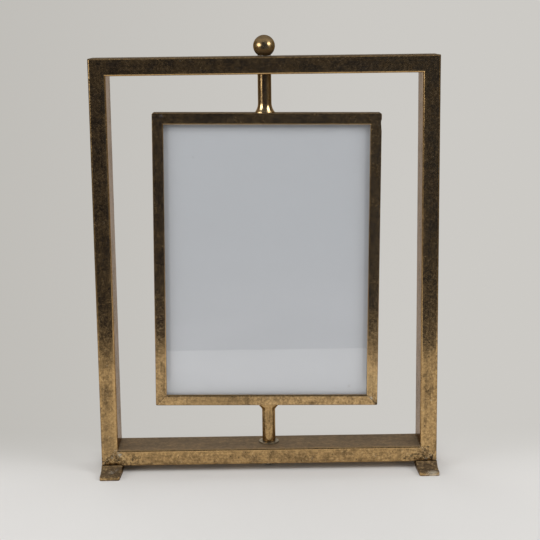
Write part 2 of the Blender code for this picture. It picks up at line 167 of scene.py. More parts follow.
@dataclass(frozen=True)
class Term:
    """A value in a node tree. Arithmetic on it adds Math nodes.

    Attributes:
        wire: The wiring of its tree.
        socket: The output that carries it.
    """

    wire: "Wiring"
    socket: bpy.types.NodeSocket

    def __add__(self, other: object) -> "Term":
        """The sum."""
        return self.wire.math("ADD", self, other)

    def __sub__(self, other: object) -> "Term":
        """The difference."""
        return self.wire.math("SUBTRACT", self, other)

    def __rsub__(self, other: object) -> "Term":
        """The difference, the other value first."""
        return self.wire.math("SUBTRACT", other, self)

    def __mul__(self, other: object) -> "Term":
        """The product."""
        return self.wire.math("MULTIPLY", self, other)

    def __truediv__(self, other: object) -> "Term":
        """The quotient."""
        return self.wire.math("DIVIDE", self, other)

    def __rtruediv__(self, other: object) -> "Term":
        """The quotient, the other value first."""
        return self.wire.math("DIVIDE", other, self)

    def __abs__(self) -> "Term":
        """The value without its sign."""
        return self.wire.math("ABSOLUTE", self)


class Wiring:
    """Adds nodes to one node tree and joins them."""

    def __init__(self, tree: bpy.types.NodeTree) -> None:
        """Start on an existing tree."""
        self.tree = tree

    def feed(self, socket: bpy.types.NodeSocket, value: object) -> None:
        """Link a socket to a term, or set its own value.

        Args:
            socket: The input.
            value: A term, a number, a vector or a colour.
        """
        if isinstance(value, Term):
            self.tree.links.new(value.socket, socket)
        else:
            socket.default_value = (*value, 1.0) if socket.type == "RGBA" else value

    def node(self, kind: str, *values: object, **settings: object) -> bpy.types.Node:
        """Add a node.

        Args:
            kind: Its type without the leading ShaderNode.
            values: What its first inputs get, in order, None for one that is passed over.
            settings: Its properties by name.

        Returns:
            The node.
        """
        item = self.tree.nodes.new("ShaderNode" + kind)
        for key, value in settings.items():
            setattr(item, key, value)
        for socket, value in zip(item.inputs, values):
            if value is not None:
                self.feed(socket, value)
        return item

    def fill(self, item: bpy.types.Node, **values: object) -> bpy.types.Node:
        """Feed inputs by name.

        Args:
            item: The node.
            values: What each input gets, by its name with underscores for spaces.

        Returns:
            The same node.
        """
        for name, value in values.items():
            self.feed(item.inputs[name.replace("_", " ")], value)
        return item

    def out(self, item: bpy.types.Node, name: str | int = 0) -> Term:
        """One output of a node."""
        return Term(self, item.outputs[name])

    def shader(self) -> bpy.types.Node:
        """The material's Principled shader."""
        return self.tree.nodes["Principled BSDF"]

    def surface(self, shader: Term) -> None:
        """Put a shader on the material's surface."""
        self.fill(self.tree.nodes["Material Output"], Surface=shader)

    def math(self, operation: str, *values: object, clamp: bool = False) -> Term:
        """One arithmetic step on one or two values."""
        return self.out(self.node("Math", *values, operation=operation, use_clamp=clamp))

    def vector(self, operation: str, *values: object) -> Term:
        """One step on one or two vectors."""
        item = self.node("VectorMath", *values, operation=operation)
        return self.out(item, "Value" if operation == "LENGTH" else "Vector")

    def mix(self, share: object, first: object, second: object) -> Term:
        """Blend two colours by a share."""
        return self.out(self.node("Mix", share, *[None] * 5, first, second, data_type="RGBA"), 2)

    def blend(self, share: object, first: Term, second: Term) -> Term:
        """Blend two shaders by a share."""
        return self.out(self.node("MixShader", share, first, second))

    def step(self, value: object, low: object, high: object, bottom: object = 0.0, top: object = 1.0
             ) -> Term:
        """A smooth rise from bottom to top as a value passes from low to high."""
        return self.out(self.node("MapRange", value, low, high, bottom, top,
                                  interpolation_type="SMOOTHSTEP"))

    def noise(self, vector: object, scale: object, detail: float = 4.0, roughness: float = 0.55,
              distortion: float = 0.0) -> Term:
        """Noise about 0.5, its scale in waves for each metre."""
        return self.out(self.fill(self.node("TexNoise"), Vector=vector, Scale=scale, Detail=detail,
                                  Roughness=roughness, Distortion=distortion), "Fac")

    def stretched(self, vector: object, scale: Colour, shift: float = 0.0) -> Term:
        """A vector scaled along each axis and shifted alike along all."""
        return self.out(self.fill(self.node("Mapping"), Vector=vector, Scale=scale, Location=(shift,) * 3))

    def value(self, name: str) -> Term:
        """A named number stored on the mesh."""
        return self.out(self.node("Attribute", attribute_name=name), "Fac")

    def place(self) -> Term:
        """Object coordinates."""
        return self.out(self.node("TexCoord"), "Object")

    def chart(self) -> Term:
        """The piece's own UV map in metres."""
        return self.out(self.node("UVMap", uv_map="metres"))

    def split(self, vector: Term) -> list[Term]:
        """The x, y and z of a vector."""
        return [Term(self, socket) for socket in self.node("SeparateXYZ", vector).outputs]

    def use(self, effect: "Effect", **values: object) -> dict[str, Term]:
        """Place a shared effect and return its outputs by name."""
        item = self.fill(self.node("Group", node_tree=effect.tree()), **values)
        return {socket.name: Term(self, socket) for socket in item.outputs}

    def bump(self, height: Term, strength: float, distance: float) -> Term:
        """A normal bent by a height."""
        return self.out(self.fill(self.node("Bump"), Height=height, Strength=strength, Distance=distance))


class Effect(Enum):
    """Surface effects that several finishes share, each a node group built once."""

    CLOUDS = "cloudy_patina"
    RUNS = "drawn_streaks"
    GRAIN = "fine_grain"
    WEAR = "edge_wear"
    PITS = "pits_and_specks"
    SEAM = "soldered_seam"
    DUST = "settled_dust"
    SCRATCHES = "hair_scratches"

    def tree(self) -> bpy.types.NodeTree:
        """The group's tree, made on first use.

        Returns:
            The tree.
        """
        found = bpy.data.node_groups.get(self.value)
        if found is None:
            found = bpy.data.node_groups.new(self.value, "ShaderNodeTree")
            getattr(EffectMaker(found), self.name.lower())()
        return found


class EffectMaker(Wiring):
    """Builds the inside of each shared effect."""

    def sockets(self, inputs: dict[str, float | None], *outputs: str
                ) -> tuple[dict[str, Term], bpy.types.Node]:
        """Declare a group's sockets.

        Args:
            inputs: Names with their resting values, or None for a vector.
            outputs: Names of the values that it puts out.

        Returns:
            What comes in by name, and the node that takes what goes out.
        """
        for name, value in inputs.items():
            kind = "NodeSocketVector" if value is None else "NodeSocketFloat"
            socket = self.tree.interface.new_socket(name=name, in_out="INPUT", socket_type=kind)
            if value is not None:
                socket.default_value = value
        for name in outputs:
            self.tree.interface.new_socket(name=name, in_out="OUTPUT", socket_type="NodeSocketFloat")
        inside = self.tree.nodes.new("NodeGroupInput")
        return {name: self.out(inside, name) for name in inputs}, self.tree.nodes.new("NodeGroupOutput")

    def clouds(self) -> None:
        """Soft patches: noise of the given size, cut where it passes the share not covered."""
        given, result = self.sockets({"Vector": None, "Size": 0.012, "Cover": 0.5, "Softness": 0.1}, "Mask")
        cloud = self.noise(given["Vector"], 1.0 / given["Size"], 5.0, 0.62, 0.4)
        level = 0.66 - given["Cover"] * 0.32
        self.fill(result, Mask=self.step(cloud, level - given["Softness"], level + given["Softness"]))

    def runs(self) -> None:
        """Streaks along the piece: noise drawn out along the UV map's first axis."""
        given, result = self.sockets({"Chart": None, "Fineness": 1.0}, "Mask", "Height")
        broad, fine = (self.noise(self.stretched(given["Chart"], (length, width, 1.0)), given["Fineness"],
                                  detail, 0.6)
                       for length, width, detail in ((14.0, 520.0, 3.0), (45.0, 2600.0, 2.0)))
        both = broad * 0.6 + fine * 0.4
        self.fill(result, Mask=self.step(both, 0.38, 0.66), Height=both)

    def grain(self) -> None:
        """Grain of a worked metal face: two kinds of noise about 0.5."""
        given, result = self.sockets({"Vector": None, "Size": 0.001}, "Tone", "Height")
        scale = 1.0 / given["Size"]
        self.fill(result, Tone=self.noise(given["Vector"], scale, 6.0, 0.68),
                  Height=self.noise(given["Vector"], scale, 2.0, 0.5))

    def wear(self) -> None:
        """Bright metal on the long edges: 1 on the rounding, falling off over a broken width."""
        given, result = self.sockets({"Edge": 9.0, "Width": 0.8, "Vector": None}, "Mask")
        broken = self.noise(given["Vector"], 420.0, 4.0, 0.65)
        width = given["Width"] * self.step(broken, 0.3, 0.7, 0.25, 1.5)
        self.fill(result, Mask=self.step(given["Edge"] / width, 0.0, 1.0, 1.0, 0.0))

    def pits(self) -> None:
        """Small pits and pale specks: the nearest of scattered points, kept where chance allows."""
        given, result = self.sockets({"Vector": None, "Size": 0.002, "Share": 0.3}, "Dark", "Pale")
        scale = 1.0 / given["Size"]
        for name, shift in (("Dark", 0.0), ("Pale", 0.37)):
            moved = self.stretched(given["Vector"], (1.0, 1.0, 1.0), shift)
            cells = self.fill(self.node("TexVoronoi"), Vector=moved, Scale=scale)
            chance, size, _ = (Term(self, part)
                               for part in self.node("SeparateColor", self.out(cells, "Color")).outputs)
            reach = size * 0.30
            spot = self.step(self.out(cells, "Distance"), reach * 0.4, reach, 1.0, 0.0)
            self.fill(result, **{name: spot * self.math("LESS_THAN", chance, given["Share"])})

    def scratches(self) -> None:
        """Hair scratches: thin bands where slow noise passes its middle, kept in a few patches."""
        given, result = self.sockets({"Vector": None, "Share": 0.5}, "Mask")
        hairs = []
        for scale, shift in ((75.0, 0.0), (110.0, 4.0)):
            moved = self.stretched(given["Vector"], (1.0, 1.0, 1.6), shift)
            hairs.append(self.step(abs(self.noise(moved, scale, 1.0, 0.5) - 0.5), 0.0015, 0.0050, 1.0, 0.0))
        level = 0.70 - given["Share"] * 0.2
        kept = self.step(self.noise(given["Vector"], 95.0, 3.0, 0.6), level, level + 0.06)
        self.fill(result, Mask=self.math("MAXIMUM", *hairs) * kept)

    def seam(self) -> None:
        """A mitre: a dark line at no distance, and a smear of solder that fades over its width."""
        given, result = self.sockets({"Mitre": 9.0, "Line": 0.2, "Smear": 2.5, "Vector": None},
                                     "Line", "Smear")
        broken = self.noise(given["Vector"], 900.0, 4.0, 0.6)
        line = self.step(given["Mitre"], 0.0, given["Line"], 1.0, 0.0) * self.step(broken, 0.35, 0.6)
        reach = given["Smear"] * self.step(broken, 0.3, 0.75, 0.1, 1.4)
        self.fill(result, Line=line, Smear=self.step(given["Mitre"] / reach, 0.2, 1.0, 1.0, 0.0))

    def dust(self) -> None:
        """Dust and dull film on faces that look up: the normal's height, broken by noise."""
        given, result = self.sockets({"Vector": None}, "Mask")
        up = self.split(self.out(self.node("NewGeometry"), "Normal"))[2]
        broken = self.noise(given["Vector"], 300.0, 5.0, 0.6)
        self.fill(result, Mask=self.step(up, 0.25, 0.80) * self.step(broken, 0.3, 0.7, 0.75, 1.0))


# Finishes


@dataclass(frozen=True)
class Blotch:
    """A ragged mark at one place on a surface.

    Attributes:
        place: Its middle.
        reach: How far it goes in x and y.
        colour: Its colour.
        share: How much it covers.
        rise: How far it goes in z, if not as far as in x and y.
    """

    place: tuple[float, float, float]
    reach: float
    colour: Colour
    share: float
    rise: float = 0.0


def marked(wire: Wiring, colour: Term, marks: tuple[Blotch, ...]) -> Term:
    """Lay marks over a colour: distance over reach, cut at 1, the reach broken by noise.

    Args:
        wire: The material's wiring.
        colour: The colour so far.
        marks: The marks, the last on top.

    Returns:
        The marked colour.
    """
    if not marks:
        return colour
    place = wire.place()
    broken = wire.step(wire.noise(place, 1500.0, 4.0, 0.65), 0.35, 0.65, 0.3, 1.5)
    for mark in marks:
        size = (mark.reach, mark.reach, mark.rise or mark.reach)
        offset = wire.vector("DIVIDE", wire.vector("SUBTRACT", place, mark.place), size)
        share = wire.step(wire.vector("LENGTH", offset) / broken, 0.5, 1.0, mark.share, 0.0)
        colour = wire.mix(share, colour, mark.colour)
    return colour


def started(name: str) -> tuple[bpy.types.Material, Wiring]:
    """A new material.

    Args:
        name: Name of the finish.

    Returns:
        The material and its wiring.
    """
    material = bpy.data.materials.new("finish_" + name)
    material.use_nodes = True
    return material, Wiring(material.node_tree)


@dataclass(frozen=True)
class Finish:
    """A finish that becomes a material on first use.

    Attributes:
        name: Its material slot in the record.
    """

    name: str

    def dress(self, wire: Wiring) -> None:
        """Build the finish in its material's tree."""
        raise NotImplementedError

    def material(self) -> bpy.types.Material:
        """The finish as a material, made on first use.

        Returns:
            The material.
        """
        material = bpy.data.materials.get("finish_" + self.name)
        if material is None:
            material, wire = started(self.name)
            self.dress(wire)
        return material


@dataclass
class Coat:
    """A finish on the way, built up layer by layer.

    Attributes:
        wire: The material's wiring.
        colour: Colour so far.
        rough: Roughness so far.
        metal: How metallic it is so far.
        height: Relief so far.
    """

    wire: Wiring
    colour: Term
    rough: Term
    metal: Term
    height: Term

    def lay(self, mask: Term, tone: object, strength: float = 1.0, rough: float = 0.0, metal: float = 0.0,
            height: float = 0.0) -> None:
        """Lay a tone over the colour by a mask.

        Args:
            mask: Where it lies, from 0 to 1.
            tone: Its colour.
            strength: How much it covers.
            rough: What it adds to the roughness.
            metal: What it takes from the metal.
            height: What it adds to the relief.
        """
        self.colour = self.wire.mix(mask * strength, self.colour, tone)
        if rough:
            self.rough += mask * rough
        if metal:
            self.metal -= mask * metal
        if height:
            self.height += mask * height


@dataclass(frozen=True)
class AgedBrass(Finish):
    """Brass with a cloudy brown patina, rubbed bright where hands and cloths reach it.

    Attributes:
        gold: Colour of the rubbed metal.
        brown: Colour of the patina.
        cover: Share of the surface under patina.
        gloss: Roughness of the rubbed metal.
        wear: Width of the bright edges in millimetres, for pieces with stored edge distances.
        streaks: Strength of the streaks along the piece.
        seams: Width of the solder smear at mitres in millimetres, or none at 0.
        grain: Size of the grain.
        pits: Share of cells with a pit or speck.
        charted: Whether streaks follow the piece's own UV map.
        relief: Depth of the grain's bump.
        graze: Colour of the metal seen along its surface.
        line: Strength of the dark line at mitres, strongest at the lower right.
        low_shade: Heights below which painted shade darkens the metal and above which it has none: the
            ball's lower half, which mirrors the dark rail, and the feet's dark contact with the table.
        film: Colour of the dull film on faces that look up.
        film_high: The same near the top, where less of it settles.
        spatter: Height below which brazing spatter lies near the feet, and its strength.
        contrast: Strength of the dark and pale grains.
        marks: Single marks.
    """

    gold: Colour = (0.62, 0.400, 0.175)
    brown: Colour = (0.22, 0.140, 0.065)
    cover: float = 0.40
    gloss: float = 0.13
    wear: float = 0.0
    streaks: float = 0.35
    seams: float = 0.0
    grain: float = 0.0020
    pits: float = 0.12
    charted: bool = True
    relief: float = 0.00007
    graze: Colour = (0.54, 0.465, 0.415)
    line: float = 0.0
    low_shade: tuple[float, float] = (0.0, 0.0)
    film: Colour = (0.155, 0.120, 0.084)
    film_high: Colour = (0.060, 0.045, 0.030)
    spatter: tuple[float, float] = (0.0, 0.0)
    contrast: float = 1.0
    marks: tuple[Blotch, ...] = ()

    def dress(self, wire: Wiring) -> None:
        """Patina by clouds and streaks, then grain, wear, pits, seams, painted low shade, dust, spatter and
        marks.

        Args:
            wire: The material's wiring.
        """
        place = wire.place()
        x, _, z = wire.split(place)
        clouds, blots = (wire.use(Effect.CLOUDS, Vector=place, Size=size, Cover=self.cover, Softness=soft)
                         for size, soft in ((0.017, 0.13), (0.0045, 0.10)))
        grain = wire.use(Effect.GRAIN, Vector=place, Size=self.grain)
        tone, height = grain["Tone"], grain["Height"] * 0.6
        patina = clouds["Mask"] * 0.52 + blots["Mask"] * 0.38
        if self.charted:
            runs = wire.use(Effect.RUNS, Chart=wire.chart())
            patina = wire.math("ADD", patina, (runs["Mask"] - 0.4) * self.streaks, clamp=True)
            height += runs["Height"] * 0.5
        rough = patina * 0.14 + self.gloss + wire.step(tone, 0.4, 0.75, 0.0, 0.07)
        coat = Coat(wire, wire.mix(patina, self.gold, self.brown), rough, 1.0 - patina * 0.12, height)
        coat.lay(wire.step(tone, 0.60, 0.36), DARK_GRAIN, 0.44 * self.contrast)
        coat.lay(wire.step(tone, 0.54, 0.72), PALE_GRAIN, 0.34 * self.contrast)
        coat.lay(wire.use(Effect.SCRATCHES, Vector=place)["Mask"], SCRATCH, 0.30)
        if self.wear:
            worn = wire.use(Effect.WEAR, Edge=wire.value("edge"), Width=self.wear, Vector=place)["Mask"]
            coat.lay(worn, tuple(min(1.0, 1.08 * part) for part in self.gold), 0.50, rough=-0.03)
        spots = wire.use(Effect.PITS, Vector=place, Size=0.0030, Share=self.pits)
        coat.lay(spots["Dark"], PIT, 0.75, height=-1.0)
        coat.lay(spots["Pale"], SPECK, 0.40)
        if self.seams:
            low = wire.step(z, 0.055, 0.18, 1.0, 0.0)
            seam = wire.use(Effect.SEAM, Mitre=wire.value("mitre"), Line=0.25, Smear=self.seams,
                            Vector=place)
            solder = seam["Smear"] * low
            self.fleck(coat, solder, wire.noise(place, 700.0, 4.0, 0.7), 3.0,
                       ((0.50, 0.40, DARK_SOLDER, 0.75), (0.54, 0.63, PALE_SOLDER, 0.75)))
            coat.lay(seam["Line"] * low * wire.step(x, -0.08, 0.08, 0.4 * self.line, self.line), MITRE_LINE)
            coat.rough += solder * 0.12
        # Painted shade low down: the ball's lower half, which mirrors the dark rail, and the feet where
        # they meet the table
        if self.low_shade[1]:
            coat.lay(wire.step(z, *self.low_shade, 1.0, 0.0), LOW_SHADE, 0.92, rough=0.25, metal=0.4)
        film = wire.mix(wire.step(z, 0.10, 0.25), self.film, self.film_high)
        coat.lay(wire.use(Effect.DUST, Vector=place)["Mask"], film, 0.86, rough=0.55, metal=0.55)
        if self.spatter[1]:
            top, strength = self.spatter
            near = wire.step(z, top, 0.6 * top) * wire.step(abs(x), 0.088, 0.108, 0.0, strength)
            self.fleck(coat, near, wire.noise(place, 400.0, 5.0, 0.70), 5.0,
                       ((0.49, 0.40, DARK_SPATTER, 0.85), (0.54, 0.62, GOLD_SPATTER, 0.60)))
        wire.fill(wire.shader(), Base_Color=marked(wire, coat.colour, self.marks), Roughness=coat.rough,
                  Metallic=coat.metal, Normal=wire.bump(coat.height, 0.35, self.relief),
                  Specular_Tint=self.graze)

    def fleck(self, coat: Coat, mask: Term, noise: Term, height: float,
              tones: tuple[tuple[float, float, Colour, float], ...]) -> None:
        """Lay flecks of metal where noise is low and where it is high.

        Args:
            coat: The finish on the way.
            mask: Where they lie.
            noise: The noise that breaks them.
            height: How far they stand out.
            tones: For each kind, the noise where it begins and is full, its colour and its strength.
        """
        for begin, full, tone, strength in tones:
            coat.lay(mask * coat.wire.step(noise, begin, full), tone, strength)
        coat.height += noise * mask * height


@dataclass(frozen=True)
class PlainMetal(Finish):
    """Turned metal that is seldom touched: washers, sleeves, stud and screw.

    Attributes:
        bright: Colour of the clean metal.
        dull: Colour of its tarnish.
        gloss: Roughness of the clean metal.
        cover: Share under tarnish.
        metal: How metallic the tarnish is.
    """

    bright: Colour
    dull: Colour
    gloss: float
    cover: float
    metal: float

    def dress(self, wire: Wiring) -> None:
        """Tarnish by clouds over fine grain.

        Args:
            wire: The material's wiring.
        """
        place = wire.place()
        clouds = wire.use(Effect.CLOUDS, Vector=place, Size=0.004, Cover=self.cover, Softness=0.12)["Mask"]
        grain = wire.use(Effect.GRAIN, Vector=place, Size=0.0006)
        share = wire.math("ADD", clouds * 0.75, wire.step(grain["Tone"], 0.3, 0.7) * 0.25, clamp=True)
        wire.fill(wire.shader(), Base_Color=wire.mix(share, self.bright, self.dull),
                  Roughness=share * 0.2 + self.gloss, Metallic=wire.step(share, 0.0, 1.0, 1.0, self.metal),
                  Normal=wire.bump(grain["Height"], 0.3, 0.00004))


@dataclass(frozen=True)
class PaneGlass(Finish):
    """Clear picture glass with a few faint smudges.

    Attributes:
        tint: Colour of the glass.
    """

    tint: Colour

    def dress(self, wire: Wiring) -> None:
        """Glass that lets lamps and soft light through to the paper.

        Args:
            wire: The material's wiring.
        """
        smudge = wire.noise(wire.place(), 28.0, 3.0, 0.5, 0.6)
        wire.fill(wire.shader(), Base_Color=self.tint, Transmission_Weight=1.0, IOR=1.5,
                  Roughness=wire.step(smudge, 0.52, 0.75, 0.0, 0.03))
        path = wire.node("LightPath")
        soft = wire.math("MAXIMUM", wire.out(path, "Is Shadow Ray"), wire.out(path, "Is Diffuse Ray"))
        clear = wire.out(wire.node("BsdfTransparent", self.tint))
        wire.surface(wire.blend(soft, wire.out(wire.shader()), clear))


@dataclass(frozen=True)
class PaperStock(Finish):
    """Blank paper or pulp board: fibres, a faint cockle and a few specks.

    Attributes:
        face: Colour of the paper.
        shade: Colour of the painted shade in its hollows.
        upper: Colour towards its top, where less light reaches it.
        gloss: Roughness.
        shine: Specular level of its surface.
        cockle: Strength of the slow waves.
        sight: Half the width and height of the opening along whose rim shade is painted, or none at 0.
        marks: Single marks.
    """

    face: Colour
    shade: Colour
    upper: Colour
    gloss: float
    shine: float
    cockle: float
    sight: tuple[float, float] = (0.0, 0.0)
    marks: tuple[Blotch, ...] = ()

    def dress(self, wire: Wiring) -> None:
        """Fibre noise for colour and bump over slow level waves.

        Args:
            wire: The material's wiring.
        """
        place = wire.place()
        fibre = wire.noise(wire.stretched(place, (1.0, 1.0, 2.2)), 2400.0, 3.0, 0.6)
        waves = wire.noise(wire.stretched(place, (7.0, 7.0, 38.0)), 1.0, 2.0, 0.5, 0.5)
        # Painted shade: the sheet darker towards its top
        colour = wire.mix(wire.step(wire.split(place)[2], 0.08, 0.20), self.face, self.upper)
        # Painted shade in the hollows of the cockle
        hollow = wire.step(fibre * 0.3 + waves * 0.7, 0.3, 0.7)
        colour = wire.mix(hollow, colour, wire.mix(0.5, colour, self.shade))
        specks = wire.use(Effect.PITS, Vector=place, Size=0.035, Share=0.10)["Dark"]
        colour = wire.mix(wire.step(specks, 0.9, 1.0) * 0.25, colour, PAPER_SPECK)
        colour = marked(wire, colour, self.marks)
        # Painted shade along the rim of the opening, darkest at the top
        if self.sight[0]:
            colour = wire.mix(self.rim_shade(wire), colour, PAPER_RIM_SHADE)
        wire.fill(wire.shader(), Base_Color=colour, Specular_IOR_Level=self.shine,
                  Roughness=wire.step(fibre, 0.3, 0.7, self.gloss, self.gloss + 0.06),
                  Normal=wire.bump(fibre * 0.02 + waves * self.cockle, 0.3, 0.0004))

    def rim_shade(self, wire: Wiring) -> Term:
        """Painted shade along the opening's rim: the reach past a rectangle with round corners, most at the
        top.

        Args:
            wire: The material's wiring.

        Returns:
            The share that it covers.
        """
        corner, begin, full = 0.0060, 0.0042, 0.0018
        up, across, _ = wire.split(wire.chart())
        past = [wire.math("MAXIMUM", abs(value) - (half - corner), 0.0)
                for value, half in zip((across, up), self.sight)]
        reach = wire.math("SQRT", past[0] * past[0] + past[1] * past[1])
        most = wire.step(up, -0.100, -0.085, 0.0, 0.24) + wire.step(up, 0.0985, 0.1010, 0.0, 0.26)
        return wire.step(reach, corner - begin, corner - full) * most


@dataclass(frozen=True)
class Palette:
    """Every finish of the frame, by the piece that wears it."""

    stand: AgedBrass = AgedBrass(
        "brass_stand", wear=0.8, seams=5.0, pits=0.22, spatter=(0.0185, 1.0),
        marks=(Blotch((-0.1132, -0.0159, 0.0146), 0.0020, (0.50, 0.50, 0.44), 0.6),
               Blotch((-0.1150, -0.0159, 0.0100), 0.0014, (0.06, 0.05, 0.035), 0.7),
               Blotch((0.1202, -0.0159, 0.0170), 0.0012, (0.05, 0.04, 0.03), 0.8),
               Blotch((0.1074, -0.0159, 0.0101), 0.0018, (0.06, 0.05, 0.035), 0.7),
               Blotch((0.1190, -0.0159, 0.0080), 0.0015, (0.55, 0.54, 0.46), 0.6),
               Blotch((-0.1215, -0.0159, 0.0330), 0.0080, (0.30, 0.20, 0.095), 0.40, rise=0.0220)))
    feet: AgedBrass = AgedBrass(
        "brass_feet", wear=0.8, cover=0.70, gloss=0.17, pits=0.30, low_shade=(0.0003, 0.0011),
        film=(0.115, 0.080, 0.048), spatter=(0.0140, 0.55), contrast=1.3,
        marks=(Blotch((0.1220, -0.0325, 0.0022), 0.0050, (0.74, 0.68, 0.55), 0.55),
               Blotch((-0.1190, -0.0240, 0.0046), 0.0030, (0.46, 0.42, 0.34), 0.55),
               Blotch((-0.1155, -0.0215, 0.0055), 0.0022, (0.50, 0.46, 0.38), 0.55)))
    picture: AgedBrass = AgedBrass(
        "brass_picture_frame", gold=(0.68, 0.450, 0.210), wear=0.65, seams=0.9, cover=0.34, grain=0.0016,
        line=0.85, pits=0.20, film=(0.060, 0.045, 0.030),
        marks=(Blotch((-0.0757, -0.007, 0.2686), 0.0016, (0.40, 0.40, 0.42), 0.6),
               Blotch((-0.0420, -0.007, 0.0530), 0.0300, (0.34, 0.225, 0.105), 0.55),
               Blotch((0.0805, -0.007, 0.0665), 0.0110, (0.80, 0.56, 0.27), 0.45),
               Blotch((0.0778, -0.007, 0.0534), 0.0015, (0.55, 0.51, 0.42), 0.65),
               Blotch((0.0816, -0.007, 0.0496), 0.0017, (0.06, 0.045, 0.03), 0.80)))
    rods: AgedBrass = AgedBrass(
        "brass_rods", wear=1.0, cover=0.40, streaks=0.6, grain=0.0012, relief=0.00011,
        # Painted shade at the upper rod's top, under the top rail
        marks=(Blotch((0.0, 0.0, 0.2990), 0.0066, (0.07, 0.045, 0.03), 0.75),
               # Painted highlights: two pale spots at the front of the upper rod's root, where the
               # softboxes glint on its flare
               Blotch((-0.0024, -0.0052, 0.2724), 0.0034, (0.92, 0.70, 0.38), 0.80, rise=0.0040),
               Blotch((0.0034, -0.0048, 0.2722), 0.0034, (0.92, 0.70, 0.38), 0.80, rise=0.0040)))
    ball: AgedBrass = AgedBrass(
        "brass_ball", gold=(0.70, 0.480, 0.235), cover=0.12, streaks=0.0, gloss=0.22, grain=0.0016,
        pits=0.02, charted=False, relief=0.000012, graze=(0.12, 0.080, 0.045), low_shade=(0.3118, 0.3172),
        contrast=0.35)
    sleeves: PlainMetal = PlainMetal(
        "brass_sleeves", (0.52, 0.38, 0.18), (0.30, 0.20, 0.09), gloss=0.3, cover=0.4, metal=0.95)
    washers: PlainMetal = PlainMetal(
        "dark_washers", (0.44, 0.355, 0.240), (0.17, 0.150, 0.105), gloss=0.30, cover=0.6, metal=0.8)
    steel: PlainMetal = PlainMetal(
        "steel_fixings", (0.55, 0.54, 0.51), (0.24, 0.20, 0.16), gloss=0.3, cover=0.35, metal=0.9)
    glass: PaneGlass = PaneGlass("clear_glass", (0.985, 0.980, 0.985))
    paper: PaperStock = PaperStock(
        "blank_paper", (0.560, 0.585, 0.605), (0.500, 0.526, 0.545), (0.510, 0.540, 0.562), gloss=0.10,
        shine=0.5, cockle=0.3, sight=(0.0757, 0.10205),
        marks=(Blotch((-0.0533, -0.0021, 0.2379), 0.0009, (0.25, 0.26, 0.28), 0.5),
               Blotch((-0.0044, -0.0021, 0.0918), 0.0008, (0.28, 0.28, 0.28), 0.5),
               Blotch((0.0614, -0.0021, 0.0619), 0.0016, (0.42, 0.42, 0.42), 0.5)))
    board: PaperStock = PaperStock(
        "grey_board", (0.34, 0.30, 0.24), (0.24, 0.21, 0.16), (0.33, 0.29, 0.23), gloss=0.8, shine=0.2,
        cockle=0.1)


def redress(node: str, finish: Finish) -> None:
    """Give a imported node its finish, its mesh left as it is.

    Args:
        node: The node's name.
        finish: The finish.
    """
    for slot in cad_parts[node].material_slots:
        slot.material = finish.material()
    log.info("%s: finished as %s", node, finish.name)


# Pieces


@dataclass
class Shell:
    """A closed mesh gathered from grids of points, with a UV map in metres and named values.

    Attributes:
        name: Name of the finished piece.
        sharp: Edges that turn by more than this many degrees stay crisp.
        points: The points of each grid.
        faces: Corner numbers of each face.
        uvs: The UV coordinates of the faces' corners, grid by grid.
        values: Further numbers at the points, by name.
        count: Number of points so far.
    """

    name: str
    sharp: float = 34.0
    points: list[np.ndarray] = field(default_factory=list)
    faces: list[list[int]] = field(default_factory=list)
    uvs: list[np.ndarray] = field(default_factory=list)
    values: dict[str, list[np.ndarray]] = field(default_factory=dict)
    count: int = 0

    def add(self, points: np.ndarray, along: np.ndarray, around: np.ndarray,
            values: dict[str, np.ndarray] | None = None, reverse: bool = False) -> None:
        """Add a tube: rows of points joined across, each row closed on itself, both ends capped.

        Args:
            points: Array of rows, columns and three coordinates.
            along: The first UV coordinate at each point.
            around: The second UV coordinate of each column, and one more for the closing.
            values: Further numbers at each point, by name.
            reverse: Whether the columns run clockwise seen against the direction of the rows.
        """
        turn = -1 if reverse else 1
        rows, columns = points.shape[:2]
        index = self.count + np.arange(rows * columns).reshape(rows, columns)
        following = np.roll(index, -1, axis=1)
        quads = np.stack([index[:-1], following[:-1], following[1:], index[1:]], axis=-1)
        along = np.broadcast_to(along, (rows, columns))
        along = np.concatenate([along, along[:, :1]], axis=1)
        chart = np.stack([along, np.broadcast_to(around, along.shape)], axis=-1)
        corners = np.stack([chart[:-1, :-1], chart[:-1, 1:], chart[1:, 1:], chart[1:, :-1]], axis=2)
        self.points.append(points.reshape(-1, 3))
        self.faces += quads.reshape(-1, 4)[:, ::turn].tolist()
        self.uvs.append(corners[:, :, ::turn].reshape(-1, 2))
        for row, order in ((0, -turn), (-1, turn)):
            self.faces.append(index[row][::order].tolist())
            self.uvs.append(chart[row, :-1][::order])
        for key, value in (values or {}).items():
            self.values.setdefault(key, []).append(np.broadcast_to(value, (rows, columns)).reshape(-1))
        self.count += rows * columns

    def place(self, body: str, stands_for: str, finish: Finish) -> None:
        """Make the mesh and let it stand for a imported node.

        Args:
            body: The body that the piece rides on.
            stands_for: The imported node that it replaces.
            finish: Its finish, named as the record's material slot.
        """
        mesh = bpy.data.meshes.new(self.name)
        mesh.from_pydata(np.concatenate(self.points).tolist(), [], self.faces)
        chart = mesh.uv_layers.new(name="metres")
        chart.data.foreach_set("uv", np.concatenate(self.uvs).astype(np.float32).ravel())
        for key, parts in self.values.items():
            layer = mesh.attributes.new(key, "FLOAT", "POINT")
            layer.data.foreach_set("value", np.concatenate(parts).astype(np.float32))
        mesh.materials.append(finish.material())
        mesh.validate()
        mesh.shade_smooth()
        mesh.set_sharp_from_angle(angle=radians(self.sharp))
        item = linked(self.name, mesh)
        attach(item, body)
        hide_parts(stands_for)
        log.info("%s: %d faces, stands for %s", self.name, len(mesh.polygons), stands_for)


def bearings() -> np.ndarray:
    """Angles of the facets round a turned piece."""
    return np.linspace(0.0, 2 * pi, FACETS, endpoint=False)


